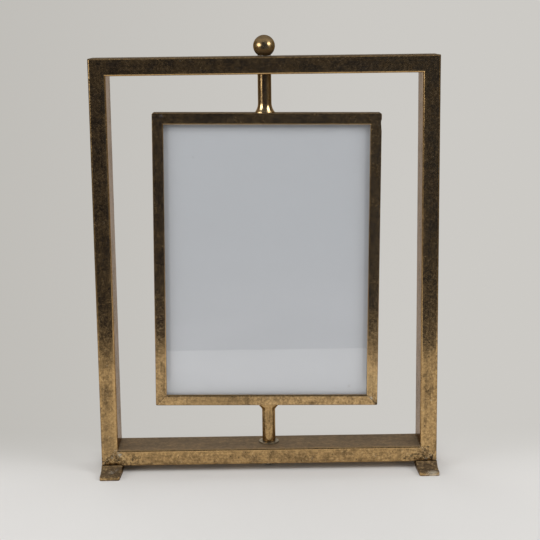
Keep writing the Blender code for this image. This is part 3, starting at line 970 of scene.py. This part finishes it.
def turned_ring(name: str, profile: np.ndarray, swell: np.ndarray | float = 1.0,
                edge: np.ndarray | None = None) -> Shell:
    """Turn a profile about Z: x = r cos a, y = r sin a, z = h.

    Args:
        name: Name of the piece.
        profile: Points of radius and height, the solid on their left, first to last.
        swell: Factors on the radius for each point and each step.
        edge: Distance of each point from the bright metal in millimetres, or none.

    Returns:
        The shell, its ends capped when the profile ends near the axis.
    """
    angle, chart_radius = bearings(), 0.005
    radius = profile[:, :1] * swell
    points = np.stack([radius * np.cos(angle), radius * np.sin(angle),
                       np.broadcast_to(profile[:, 1:], (len(profile), FACETS))], axis=-1)
    along = np.concatenate([[0.0], np.cumsum(np.linalg.norm(np.diff(profile, axis=0), axis=1))])
    around = np.concatenate([angle, [2 * pi]]) * chart_radius
    shell = Shell(name)
    shell.add(points, along[:, None], around, None if edge is None else {"edge": edge[:, None]})
    return shell


class Side(Enum):
    """The side of a frame that a bar lies on, as quarter turns clockwise from the top."""

    TOP = 0
    RIGHT = 1
    BOTTOM = 2
    LEFT = 3

    def turned(self, along: np.ndarray, out: np.ndarray) -> tuple[np.ndarray, np.ndarray]:
        """The x and z of points along a bar and out from the centre, turned from the top to here."""
        return ((along, out), (out, -along), (-along, -out), (-out, along))[self.value]


@dataclass(frozen=True)
class Section:
    """A bar's closed profile as depth and inset, with its distances.

    Attributes:
        depth: Distance towards the back, negative in front.
        inset: Distance in from the frame's outer face.
        push: Outward normals in the same two directions.
        around: Distance round the profile, with one more for the closing.
        edge: Distance from the nearest rounded edge in millimetres.
    """

    depth: np.ndarray
    inset: np.ndarray
    push: np.ndarray
    around: np.ndarray
    edge: np.ndarray

    @staticmethod
    def of(outline: np.ndarray, worn: np.ndarray, spacing: float) -> "Section":
        """Divide an outline and measure it.

        Args:
            outline: Points of depth and inset that run from front to back on the outer face.
            worn: Centres of the bright edges and their radii.
            spacing: Longest step left on a flat.

        Returns:
            The section.
        """
        fine = refined(outline, spacing)
        apart = np.linalg.norm(fine[:, None, :] - worn[None, :, :2], axis=2) - worn[None, :, 2]
        edge = np.maximum(0.0, apart.min(axis=1)) * 1000
        return Section(fine[:, 0], fine[:, 1], outward(fine), girth(fine), edge)


@dataclass(frozen=True)
class MitredFrame:
    """Where a frame of four bars stands, and how its bars meet.

    Attributes:
        width: Outer width.
        height: Outer height.
        centre: Height of its centre above the ground.
        lean: Turn about Y in radians, its top towards +X.
        corner: Radius of its outer corners seen from the front.
        groove: Depth of the line at each mitre.
        sway: Depth of the slow unevenness of its faces.
    """

    width: float
    height: float
    centre: float
    lean: float
    corner: float
    groove: float
    sway: float

    def stations(self, half: float) -> np.ndarray:
        """Where a bar has rows: crowded at the mitres, 4 mm apart elsewhere.

        Args:
            half: Half of the bar's length.

        Returns:
            Shares of the half length, from -1 to 1.
        """
        near = [0.0, 0.00012, 0.0003, 0.0006, 0.0010, 0.0016, 0.0025, 0.004, 0.006, 0.009, 0.013]
        far = np.linspace(0.0175, half, max(2, int(half / 0.004)))
        share = 1.0 - np.concatenate([near, far]) / half
        return np.concatenate([-share[:-1], [0.0], share[:-1][::-1]])

    def bar(self, shell: Shell, section: Section, side: Side, seed: int,
            carve: "Carving | None" = None) -> None:
        """Carry a section along one side between its two mitres.

        A row's place along the bar is its share of each profile line's own length, the half span
        less the inset. The outer corner is rounded by holding the inset to at least
        R - sqrt(R^2 - q^2), where q is how far the row is past the corner's centre.

        Args:
            shell: The mesh that takes the surface.
            section: The bar's profile.
            side: The side that it lies on.
            seed: Picks its unevenness.
            carve: What is cut from the bar, if anything.
        """
        upright = side in (Side.LEFT, Side.RIGHT)
        half = (self.height if upright else self.width) / 2
        offset = (self.width if upright else self.height) / 2
        inset = section.inset[None, :]
        along = self.stations(half)[:, None] * (half - np.maximum(inset, self.corner * (1 - sqrt(0.5))))
        past = np.clip(np.abs(along) - (half - self.corner), 0.0, self.corner)
        level = np.maximum(inset, self.corner - np.sqrt(self.corner ** 2 - past ** 2))
        mitre = np.maximum(0.0, half - level - np.abs(along))
        line, calm, chart_step = 0.0002, 0.02, 0.4
        uneven = self.sway * ripple(along, section.around[None, :-1], seed)
        dip = self.groove * np.clip(1 - mitre / line, 0.0, 1.0) + uneven * np.clip(mitre / calm, 0.0, 1.0)
        level = level - section.push[None, :, 1] * dip
        deep = section.depth[None, :] - section.push[None, :, 0] * dip
        if carve is not None:
            level, deep = carve.cut(along, level, deep, side)
        x, z = side.turned(along, offset - level)
        shell.add(leaned(x, deep, z, self.centre, self.lean), along + chart_step * seed, section.around,
                  {"edge": section.edge, "mitre": mitre * 1000}, reverse=True)


@dataclass(frozen=True)
class Carving:
    """The loading slot in a bar's web and the nick at its end, as limits on a half profile.

    Attributes:
        nick_height: Height of the nick's centre from the frame's centre.
        front: Whether this is the front half of the bar.
        half_width: Half of the slot's width.
        middle: Height of the slot's middle from the frame's centre.
        half_length: Half of the slot's length.
        nick_radius: Radius of the nick.
        nick_depth: Depth of the nick.
    """

    nick_height: float
    front: bool
    half_width: float = 0.0025
    middle: float = -0.0017
    half_length: float = 0.10705
    nick_radius: float = 0.0032
    nick_depth: float = 0.0009

    def cut(self, along: np.ndarray, level: np.ndarray, deep: np.ndarray, side: Side
            ) -> tuple[np.ndarray, np.ndarray]:
        """Limit the half profile.

        The web ends at the slot's edge, w for most of its length and sqrt(w^2 - q^2) in its
        round ends, q being how far the row is past the end's centre. In the nick the inset is
        at least d - (R - sqrt(R^2 - h^2)), h being the height from the nick's centre.

        Args:
            along: Distance along the bar.
            level: Inset of each point.
            deep: Depth of each point.
            side: The side that the bar lies on.

        Returns:
            The new insets and depths.
        """
        height = -along if side is Side.RIGHT else along
        past = np.clip(np.abs(height - self.middle) - (self.half_length - self.half_width), 0.0,
                       self.half_width)
        gap = np.sqrt(np.maximum(self.half_width ** 2 - past ** 2, 0.0))
        deep = np.minimum(deep, -gap) if self.front else np.maximum(deep, gap)
        away = np.clip(np.abs(height - self.nick_height), 0.0, self.nick_radius)
        bite = self.nick_depth - self.nick_radius + np.sqrt(self.nick_radius ** 2 - away ** 2)
        return np.maximum(level, bite), deep


@dataclass
class Stand:
    """The outer frame: four lengths of rectangular tube, soldered at the corners, on two feet.

    Attributes:
        palette: The finishes.
        face: Width of the tube seen from the front.
        depth: Depth of the tube.
        rounding: Radius of its long edges.
        foot_height: Height of the tube above the ground.
        foot_width: Width of a foot at the tube.
        toe_width: Width of a foot at its tips.
        foot_reach: How far a foot stands out before and behind the tube.
        rebate: How far a foot stands up round the tube.
        rebate_wall: Thickness of the foot before and behind the tube.
        seat: Gap between a foot and the tube.
        lip_height: Height of a foot's tip.
        lip_depth: Depth of the flat at its tip.
        toe_corner: Radius of a tip's corners seen from above.
        foot_edge: Radius of a foot's long edges.
    """

    palette: Palette
    face: float = 0.0127
    depth: float = 0.03175
    rounding: float = 0.0016
    foot_height: float = 0.0050
    foot_width: float = 0.0157
    toe_width: float = 0.0148
    foot_reach: float = 0.0172
    rebate: float = 0.0014
    rebate_wall: float = 0.0010
    seat: float = 0.0003
    lip_height: float = 0.0027
    lip_depth: float = 0.0026
    toe_corner: float = 0.0019
    foot_edge: float = 0.00045

    def build(self) -> None:
        """Make the tubes, the feet and the washer under the lower rod."""
        self.tubes()
        self.foot("left_foot", -1)
        self.foot("right_foot", 1)
        self.washer()

    def tubes(self) -> None:
        """Carry the tube's rounded rectangle round the four sides, only its inner edges worn."""
        low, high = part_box("left_stile")
        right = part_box("right_stile")[1]
        fit = MitredFrame(right.x - low.x, high.z - low.z, (high.z + low.z) / 2, lean=0.0, corner=0.0008,
                          groove=0.00001, sway=0.00007)
        half, radius, unworn, spacing = self.depth / 2, self.rounding, -0.0010, 0.0026
        inner, outer = self.face - radius, radius
        corners = (((-half + radius, inner), 90.0, radius), ((-half + radius, outer), 180.0, unworn),
                   ((half - radius, outer), 270.0, unworn), ((half - radius, inner), 0.0, radius))
        outline = np.concatenate([quarter(centre, radius, begin, 90.0, 6) for centre, begin, _ in corners])
        section = Section.of(outline, np.array([[*centre, worn] for centre, _, worn in corners]), spacing)
        for seed, (node, side) in enumerate((("top_rail", Side.TOP), ("right_stile", Side.RIGHT),
                                             ("bottom_rail", Side.BOTTOM), ("left_stile", Side.LEFT))):
            shell = Shell(node + "_tube")
            fit.bar(shell, section, side, seed)
            shell.place("stand", node, self.palette.stand)

    def foot_outline(self) -> np.ndarray:
        """Side view of a foot from its sole round to the rebate, as depth and height.

        Behind the rebate wall a quarter of an ellipse sweeps down to the lip. The front half
        mirrors the rear one.

        Returns:
            The outline's points.
        """
        shoulder = self.depth / 2 + self.seat
        crest, toe = shoulder + self.rebate_wall, self.depth / 2 + self.foot_reach
        top, lip = self.foot_height + self.rebate, self.lip_height
        small, nose, inside, below = 0.0003, 0.0007, 0.0002, 0.00005
        angle = np.linspace(pi / 2, 0.0, 13)[:-1]
        run, drop = toe - self.lip_depth - crest, top - lip
        half = np.concatenate([
            quarter((toe - small, small), small, -90.0, 90.0, 3),
            quarter((toe - nose, lip - nose), nose, 0.0, 90.0, 4),
            np.stack([crest + run * (1 - np.cos(angle)), lip + drop * (1 - np.sin(angle))], axis=1),
            quarter((crest - small, top - small), small, 0.0, 90.0, 3),
            quarter((shoulder + inside, top - inside), inside, 90.0, 90.0, 2),
            [[shoulder, self.foot_height - below]],
        ])
        return np.concatenate([half, half[::-1] * np.array([-1.0, 1.0])])

    def foot(self, name: str, side: int) -> None:
        """Carry a foot's outline across its width.

        Near both faces the outline draws in by r(1 - cos a) as the width grows by r sin a, the
        toes round off by R - sqrt(R^2 - q^2), and past the shoulder the inner face tapers.

        Args:
            name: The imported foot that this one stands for.
            side: -1 for the left foot and 1 for the right one.
        """
        spacing = 0.0022
        outline = refined(self.foot_outline(), spacing)
        turn = np.linspace(0.0, pi / 2, 5)[::-1]
        toes, flank, rows = np.array([0.0003, 0.0007, 0.0011, 0.0015]), 0.0024, 8
        lead = np.concatenate([self.foot_edge * (1 - np.sin(turn)), self.foot_edge + toes])
        draw = np.concatenate([self.foot_edge * (1 - np.cos(turn)), np.zeros(len(toes))])
        across = np.concatenate([lead, np.linspace(flank, self.foot_width - flank, rows),
                                 self.foot_width - lead[::-1]])[:, None]
        inward = np.concatenate([draw, np.zeros(rows), draw[::-1]])[:, None, None]
        flat = outline[None, :, :] - outward(outline)[None, :, :] * inward
        near = np.minimum(across, self.foot_width - across)
        past_side = np.clip(self.toe_corner - near, 0.0, self.toe_corner)
        limit = self.depth / 2 + self.foot_reach - self.toe_corner + np.sqrt(
            self.toe_corner ** 2 - past_side ** 2)
        y = np.clip(flat[:, :, 0], -limit, limit)
        z = np.maximum(flat[:, :, 1], 0.0)
        shoulder = self.depth / 2 + self.seat
        past = np.clip((np.abs(y) - shoulder) / (self.foot_reach - self.seat), 0.0, 1.0)
        taper = past * (self.foot_width - self.toe_width) * (across / self.foot_width)
        outer = abs(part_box("left_stile")[0].x)
        x = side * (outer - across + taper)
        # Centres and radii of the bright places: the lip, and the top of the rebate's wall
        worn = np.array([[self.depth / 2 + self.foot_reach - 0.0008, 0.5 * self.lip_height, 0.0016],
                         [shoulder + 0.0005, self.foot_height + self.rebate, 0.0008]])
        apart = np.hypot(np.abs(y)[..., None] - worn[:, 0], z[..., None] - worn[:, 1]) - worn[:, 2]
        edge = 1000 * np.maximum(0.0, apart.min(axis=2))
        shell = Shell(name + "_plate", sharp=48.0)
        shell.add(np.stack([x, y, z], axis=-1)[:, ::-side], across, girth(outline)[::-side],
                  {"edge": edge[:, ::-side]})
        shell.place("stand", name, self.palette.feet)

    def washer(self) -> None:
        """Turn the flat washer that the lower rod runs on, its rims rounded."""
        low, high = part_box("thrust_washer")
        bore, rim, edge, under = 0.0028, high.x, 0.0004, 0.0002
        base, top = low.z - under, high.z
        profile = np.concatenate([
            [[bore, base]], quarter((rim - edge, base + under), under, -90.0, 90.0, 2),
            quarter((rim - edge, top - edge), edge, 0.0, 90.0, 4), [[bore, top]]])
        turned_ring("thrust_washer_disc", profile).place("stand", "thrust_washer", self.palette.washers)


@dataclass
class PictureFrame:
    """The glazed frame that swivels: mitred channel, two panes, two sheets and a board.

    Attributes:
        palette: The finishes.
        width: Outer width of the channel frame.
        height: Outer height of the channel frame.
        centre: Height of its centre above the ground.
        lean: Its small turn about Y in radians, the top towards +X.
        face: Width of a bar seen from the front.
        depth: Depth of a bar.
        groove: Width of its groove.
        wall: Thickness of its walls.
        rounding: Radius of its outer long edges.
        lip: Radius of its inner long edges.
        corner: Radius of the frame's outer corners seen from the front.
        nick_drop: How far the loading nick lies below the frame's top.
        sheet: Width and height of a sheet.
        sheet_drop: How far the sheets' middle lies below the frame's centre.
        sheet_half: Half of a sheet's thickness.
    """

    palette: Palette
    width: float = 0.1680
    height: float = 0.2207
    centre: float = 0.159328
    lean: float = radians(0.75)
    face: float = 0.0083
    depth: float = 0.0140
    groove: float = 0.0104
    wall: float = 0.0018
    rounding: float = 0.0007
    lip: float = 0.0006
    corner: float = 0.0012
    nick_drop: float = 0.0076
    sheet: tuple[float, float] = (0.1604, 0.2131)
    sheet_drop: float = 0.0017
    sheet_half: float = 0.00012

    def build(self) -> None:
        """Make the bars and the sheets, then dress the panes and the board."""
        self.bars()
        self.paper("front_sheet")
        self.paper("rear_sheet")
        for node, finish in (("front_glass", self.palette.glass), ("rear_glass", self.palette.glass),
                             ("backing_board", self.palette.board)):
            redress(node, finish)

    def outline(self, half_only: int = 0) -> np.ndarray:
        """The U channel's profile as depth and inset, or one half of it.

        Args:
            half_only: 0 for the whole channel, -1 for its front half and 1 for its rear half.

        Returns:
            The outline's points, in the order that faces outwards.
        """
        half, groove, radius, lip = self.depth / 2, self.groove / 2, self.rounding, self.lip
        front = np.concatenate([
            [[-groove, self.wall]],
            quarter((-groove - lip, self.face - lip), lip, 0.0, 90.0, 3),
            quarter((-half + lip, self.face - lip), lip, 90.0, 90.0, 3),
            quarter((-half + radius, radius), radius, 180.0, 90.0, 5)])
        rear = front[::-1] * np.array([-1.0, 1.0])
        if half_only == 0:
            return np.concatenate([front, rear])
        inside, outside = [[0.0, self.wall]], [[0.0, 0.0]]
        return np.concatenate([inside, front, outside] if half_only < 0 else [outside, rear, inside])

    def bars(self) -> None:
        """Carry the channel round the four sides, the right-hand one in two halves with its slot."""
        fit = MitredFrame(self.width, self.height, self.centre, self.lean, self.corner, groove=0.00002,
                          sway=0.00004)
        edge, spacing, finish = 0.0003, 0.0016, self.palette.picture
        worn = np.array([[side * (self.depth / 2 - edge), self.face - edge, edge] for side in (-1, 1)])
        whole = Section.of(self.outline(), worn, spacing)
        for seed, (node, side) in enumerate((("picture_top_bar", Side.TOP),
                                             ("picture_bottom_bar", Side.BOTTOM),
                                             ("picture_left_bar", Side.LEFT)), start=5):
            shell = Shell(node + "_channel")
            fit.bar(shell, whole, side, seed)
            shell.place("picture_frame", node, finish)
        shell = Shell("picture_right_bar_channel")
        for front in (True, False):
            section = Section.of(self.outline(-1 if front else 1), worn, spacing)
            fit.bar(shell, section, Side.RIGHT, 9, Carving(self.height / 2 - self.nick_drop, front))
        shell.place("picture_frame", "picture_right_bar", finish)

    def paper(self, node: str) -> None:
        """Lay a sheet: a thin slab whose depth follows slow waves of less than 0.1 mm.

        Args:
            node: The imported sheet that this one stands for.
        """
        low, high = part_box(node)
        width, height = self.sheet
        columns, rows, cockle, seed = 41, 61, 0.00008, 21
        span = np.concatenate([np.linspace(-0.5, 0.5, columns), np.linspace(0.5, -0.5, columns)])
        face = np.repeat([-1.0, 1.0], columns)
        x, z = span * width, np.linspace(-0.5, 0.5, rows)[:, None] * height - self.sheet_drop
        wave = cockle * (ripple(z * 1.4, x * 0.35, seed) - 0.5)
        y = (low.y + high.y) / 2 + face * self.sheet_half + wave
        shell = Shell(node + "_paper")
        shell.add(leaned(x, y, z, self.centre, self.lean), z, np.append(x, x[0]))
        shell.place("picture_frame", node, self.palette.paper)


@dataclass
class Pivots:
    """What the picture frame turns on: two rods, the ball finial, and hidden stud, sleeves and screw.

    Attributes:
        palette: The finishes.
        rod_radius: Radius of both rods.
        upper_flare: Radius of the braze at the upper rod's root.
        upper_rise: Height of that braze.
        lower_flare: Radius of the braze at the lower rod's root.
        lower_rise: Height of that braze.
        ball_radius: Radius of the finial.
        ball_seat: Radius of its flat seat.
    """

    palette: Palette
    rod_radius: float = 0.0050
    upper_flare: float = 0.0066
    upper_rise: float = 0.0072
    lower_flare: float = 0.0061
    lower_rise: float = 0.0053
    ball_radius: float = 0.00795
    ball_seat: float = 0.0045

    def build(self) -> None:
        """Make the rods and the ball, then dress the hidden fixings."""
        self.rod("upper_rod", self.upper_flare, self.upper_rise, False)
        self.rod("lower_rod", self.lower_flare, self.lower_rise, True)
        self.ball()
        steel, brass = self.palette.steel, self.palette.sleeves
        for node, finish in (("finial_stud", steel), ("pivot_screw", steel), ("upper_sleeve", brass),
                             ("lower_sleeve", brass), ("screw_washer", self.palette.washers)):
            redress(node, finish)

    def rod(self, node: str, flare: float, rise: float, hanging: bool) -> None:
        """Turn a rod whose root flares out.

        The root's radius is r + (f - r)(1 - s^b)^c at height h s, times 1 + w cos^4 a round the
        axis and a little uneven, as hand brazing leaves it: it runs out along the bar.

        Args:
            node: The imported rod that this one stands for.
            flare: Greatest radius of the root.
            rise: Height of the root.
            hanging: Whether the root is at the top.
        """
        low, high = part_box(node)
        sunk, bed, small, core, past_low, past_high = 0.0021, 0.0006, 0.0004, 0.0002, 0.0001, 0.0002
        root_level = high.z - sunk if hanging else low.z + sunk
        free_end = low.z - past_low if hanging else high.z + past_high
        length, more = abs(free_end - root_level), flare - self.rod_radius
        belly, hollow, wing = (2.0, 2.8, 0.30) if hanging else (1.0, 2.2, 0.12)
        rings = 16
        share = np.linspace(0.0, 1.0, rings)
        root = np.stack([self.rod_radius + more * (1 - share ** belly) ** hollow, rise * share], axis=1)
        heights = np.linspace(rise, length - small, rings + 2)[1:-1]
        shank = np.stack([np.full(rings, self.rod_radius), heights], axis=1)
        end = quarter((self.rod_radius - small, length - small), small, 0.0, 90.0, 3)
        profile = np.concatenate([[[core, -bed], [flare - bed, -bed], [flare, -small]], root, shank, end,
                                  [[core, length]]])
        angle = bearings()
        puddle = 0.5 + 0.22 * np.sin(angle * 2 + 0.8) + 0.18 * np.sin(angle * 5 + 2.1)
        puddle += 0.1 * np.sin(angle * 9)
        excess = np.clip((profile[:, :1] - self.rod_radius) / more, 0.0, 1.0)
        swell = 1.0 + excess * (wing * np.cos(angle) ** 4 - 0.05 * (1 - puddle))
        edge = 1000 * np.maximum(0.0, profile[:, 1] - 0.75 * rise)
        profile[:, 1] = root_level + (-1.0 if hanging else 1.0) * profile[:, 1]
        if hanging:
            profile, swell, edge = profile[::-1], swell[::-1], edge[::-1]
        turned_ring(node + "_turned", profile, swell, edge).place("picture_frame", node, self.palette.rods)

    def ball(self) -> None:
        """Turn the ball, r = R sin a and h = R cos a up to the pole, on a low collar at its seat."""
        low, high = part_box("ball_finial")
        radius, centre = self.ball_radius, high.z - self.ball_radius
        sink, widening, bevel, core, pole, clear = 0.00028, 0.0004, 0.0001, 0.0002, 0.004, 0.00002
        angle = np.linspace(pi - np.arcsin(self.ball_seat / radius), pole, 60)
        globe = np.stack([radius * np.sin(angle), centre + radius * np.cos(angle)], axis=1)
        foot, collar = low.z - sink, self.ball_seat + widening
        meet = centre - sqrt(radius ** 2 - collar ** 2)
        seat = [[core, foot], [collar - bevel, foot], [collar, foot + bevel], [collar, meet]]
        profile = np.concatenate([seat, globe[globe[:, 1] > meet + clear]])
        turned_ring("ball_finial_turned", profile).place("picture_frame", "ball_finial", self.palette.ball)


# Room


@dataclass(frozen=True)
class Viewpoint:
    """Where the photograph was taken from.

    Attributes:
        place: The camera's place.
        lens: Focal length in millimetres on a 36 mm sensor.
        down: How far it looks down, in radians.
        turn: How far it looks to the right, in radians.
        roll: Its roll, in radians.
    """

    place: tuple[float, float, float] = (-0.00658, -0.98331, 0.33554)
    lens: float = 88.954
    down: float = 0.1844
    turn: float = 0.0091
    roll: float = -0.0123

    def build(self) -> None:
        """Set up the camera and make it the scene's own."""
        level = cos(self.down)
        forward = Vector((sin(self.turn) * level, cos(self.turn) * level, -sin(self.down)))
        right = Vector((cos(self.turn), -sin(self.turn), 0.0))
        up = right.cross(forward)
        across = cos(self.roll) * right + sin(self.roll) * up
        upward = cos(self.roll) * up - sin(self.roll) * right
        data = bpy.data.cameras.new("viewpoint")
        data.lens, data.sensor_width, data.clip_start = self.lens, 36.0, 0.02
        item = linked("viewpoint", data)
        turned = Matrix((across, upward, -forward)).transposed().to_4x4()
        item.matrix_world = Matrix.Translation(self.place) @ turned
        bpy.context.scene.camera = item


@dataclass(frozen=True)
class Softbox:
    """A soft lamp that looks at the middle of the frame.

    Attributes:
        name: Name of the lamp.
        direction: From the frame towards the lamp.
        distance: Distance from the frame.
        size: Width and height of its face.
        power: Power in watts.
        mirrored: Whether metal and glass mirror it.
    """

    name: str
    direction: tuple[float, float, float]
    distance: float
    size: tuple[float, float]
    power: float
    mirrored: bool = True

    def build(self) -> None:
        """Hang the lamp."""
        data = bpy.data.lights.new(self.name, "AREA")
        data.shape, data.energy = "ELLIPSE", self.power
        data.size, data.size_y = self.size
        item = linked(self.name, data)
        towards = Vector(self.direction).normalized()
        item.location = Vector((0.0, 0.0, MIDDLE)) + towards * self.distance
        item.rotation_euler = towards.to_track_quat("Z", "Y").to_euler()
        item.visible_camera = False
        item.visible_glossy = self.mirrored


@dataclass(frozen=True)
class Room:
    """The plain pale table and surroundings, and the unlit room that the front mirrors.

    Attributes:
        near: Colour of the table under the frame.
        far_left: Colour of the background on the left.
        far_right: Colour of the background on the right.
        table_edge: Distance of the table's front edge from the frame.
        reach: How far the table goes to each side.
        dark_left: Level of the unlit room before the table, on the left.
        dark_right: The same on the right.
        back_left: Colour that metal mirrors from behind on the left.
        back_right: Colour that metal mirrors from behind on the right.
        side: Level of the room on both sides.
        above: Level of the room overhead.
        soft: Colour of the soft light that fills the room.
    """

    near: Colour = (0.780, 0.772, 0.760)
    far_left: Colour = (0.505, 0.490, 0.460)
    far_right: Colour = (0.605, 0.590, 0.560)
    table_edge: float = 0.373
    reach: float = 30.0
    dark_left: Colour = (0.032, 0.035, 0.054)
    dark_right: Colour = (0.042, 0.050, 0.080)
    back_left: Colour = (0.700, 0.685, 0.650)
    back_right: Colour = (0.590, 0.570, 0.530)
    side: Colour = (0.13, 0.124, 0.112)
    above: Colour = (0.20, 0.19, 0.175)
    soft: Colour = (0.400, 0.392, 0.378)

    def build(self) -> None:
        """Lay the table and fill the surroundings."""
        self.table()
        self.surroundings()

    def tone(self, wire: Wiring, direction: Term) -> Term:
        """Tone of the room in a direction from the frame.

        The unlit front covers about 40 degrees to each side and 45 upwards, the background
        behind keeps its own tone, and between them lies the level of the sides.

        Args:
            wire: The tree that takes the nodes.
            direction: A vector from the frame, of any length.

        Returns:
            The colour.
        """
        x, y, z = wire.split(wire.vector("NORMALIZE", direction))
        front = y * -1.0 / wire.math("SQRT", 1.0001 - wire.math("POWER", z, 2.0))
        behind = wire.mix(wire.step(x, -0.15, 0.10), self.back_left, self.back_right)
        around = wire.mix(wire.step(front, -0.94, -0.60), behind, self.side)
        dark = wire.mix(wire.step(x, -0.16, 0.16), self.dark_left, self.dark_right)
        around = wire.mix(wire.step(front, 0.60, 0.88), around, dark)
        return wire.mix(wire.step(z, 0.60, 0.96), around, self.above)

    def ray(self, wire: Wiring, *kinds: str) -> Term:
        """1 for rays of two kinds."""
        path = wire.node("LightPath")
        return wire.math("MAXIMUM", *(wire.out(path, f"Is {kind} Ray") for kind in kinds))

    def glow(self, wire: Wiring, share: Term, under: Term, colour: Term) -> Term:
        """Lay a plain emission of a colour over a shader by a share."""
        return wire.blend(share, under, wire.out(wire.node("Emission", colour)))

    def table(self) -> None:
        """A wide matt surface that passes into the even background behind the frame and far off.

        Its far colour follows x / (|y| + d), d being how far back the camera stands, so that it
        meets the world at the same tone all along the horizon. Mirrored rays see it end at its
        front edge, and pass into the room at its sides.
        """
        material, wire = started("table_paper")
        place = wire.place()
        x, y, _ = wire.split(place)
        wire.fill(wire.shader(), Base_Color=self.near, Roughness=0.9, Specular_IOR_Level=0.0)
        camera_back = 0.98
        fan = x / (abs(y) + camera_back)
        far = wire.mix(wire.step(fan, -0.35, 0.15), self.far_left, self.far_right)
        under = wire.step(y, 0.06, 0.0) * wire.step(abs(x), 0.17, 0.12)
        back = wire.math("MAXIMUM", wire.step(y, -0.05, 0.10) * (1.0 - under),
                         wire.step(wire.vector("LENGTH", place), 0.55, 1.20))
        mirrored = self.ray(wire, "Glossy", "Transmission")
        seen = wire.math("MAXIMUM", wire.out(wire.node("LightPath"), "Is Camera Ray"), mirrored)
        surface = self.glow(wire, back * seen, wire.out(wire.shader()), far)
        outside = wire.math("MAXIMUM", wire.math("LESS_THAN", y, -self.table_edge),
                            wire.step(abs(x), 0.45, 0.90))
        raised = wire.vector("ADD", place, (0.0, 0.0, -MIDDLE))
        surface = self.glow(wire, outside * mirrored, surface, self.tone(wire, raised))
        wire.surface(surface)
        material.cycles.emission_sampling = "NONE"
        corners = [(a * self.reach, b * self.reach, 0.0) for a, b in ((-1, -1), (1, -1), (1, 1), (-1, 1))]
        mesh = bpy.data.meshes.new("table")
        mesh.from_pydata(corners, [], [(0, 1, 2, 3)])
        mesh.materials.append(material)
        item = linked("table", mesh)

    def surroundings(self) -> None:
        """A pale world, a little darker on the left as the table is, with the room for mirrored rays."""
        world = bpy.data.worlds.new("pale_room")
        world.use_nodes = True
        wire = Wiring(world.node_tree)
        direction = wire.out(wire.node("TexCoord"), "Generated")
        pale = wire.mix(wire.step(wire.split(direction)[0], -0.35, 0.15), self.far_left, self.far_right)
        pale = wire.mix(wire.out(wire.node("LightPath"), "Is Camera Ray"), self.soft, pale)
        room = wire.mix(self.ray(wire, "Glossy", "Transmission"), pale, self.tone(wire, direction))
        wire.fill(world.node_tree.nodes["Background"], Color=room)
        world.cycles.sampling_method = "NONE"
        bpy.context.scene.world = world


def main() -> None:
    """Build the room and the frame, piece by piece."""
    logging.basicConfig(level=logging.INFO, format="%(name)s: %(message)s")
    bpy.context.scene.view_settings.view_transform = "Standard"
    palette = Palette()
    Viewpoint().build()
    Room().build()
    for lamp in (Softbox("left_softbox", (-0.805, -0.539, 0.246), 2.2, (1.60, 1.05), 12.5),
                 Softbox("right_softbox", (0.761, -0.497, 0.420), 2.2, (1.20, 1.05), 12.5),
                 Softbox("overhead_softbox", (0.05, 0.0, 1.0), 2.6, (1.60, 1.60), 8.0, mirrored=False),
                 Softbox("upper_softbox", (0.0, -0.62, 0.80), 2.6, (1.00, 1.00), 18.5, mirrored=False),
                 Softbox("rear_softbox", (-0.25, 0.85, 0.45), 2.6, (1.60, 1.60), 8.0, mirrored=False)):
        lamp.build()
    Stand(palette).build()
    PictureFrame(palette).build()
    Pivots(palette).build()


if __name__ == "__main__":
    main()
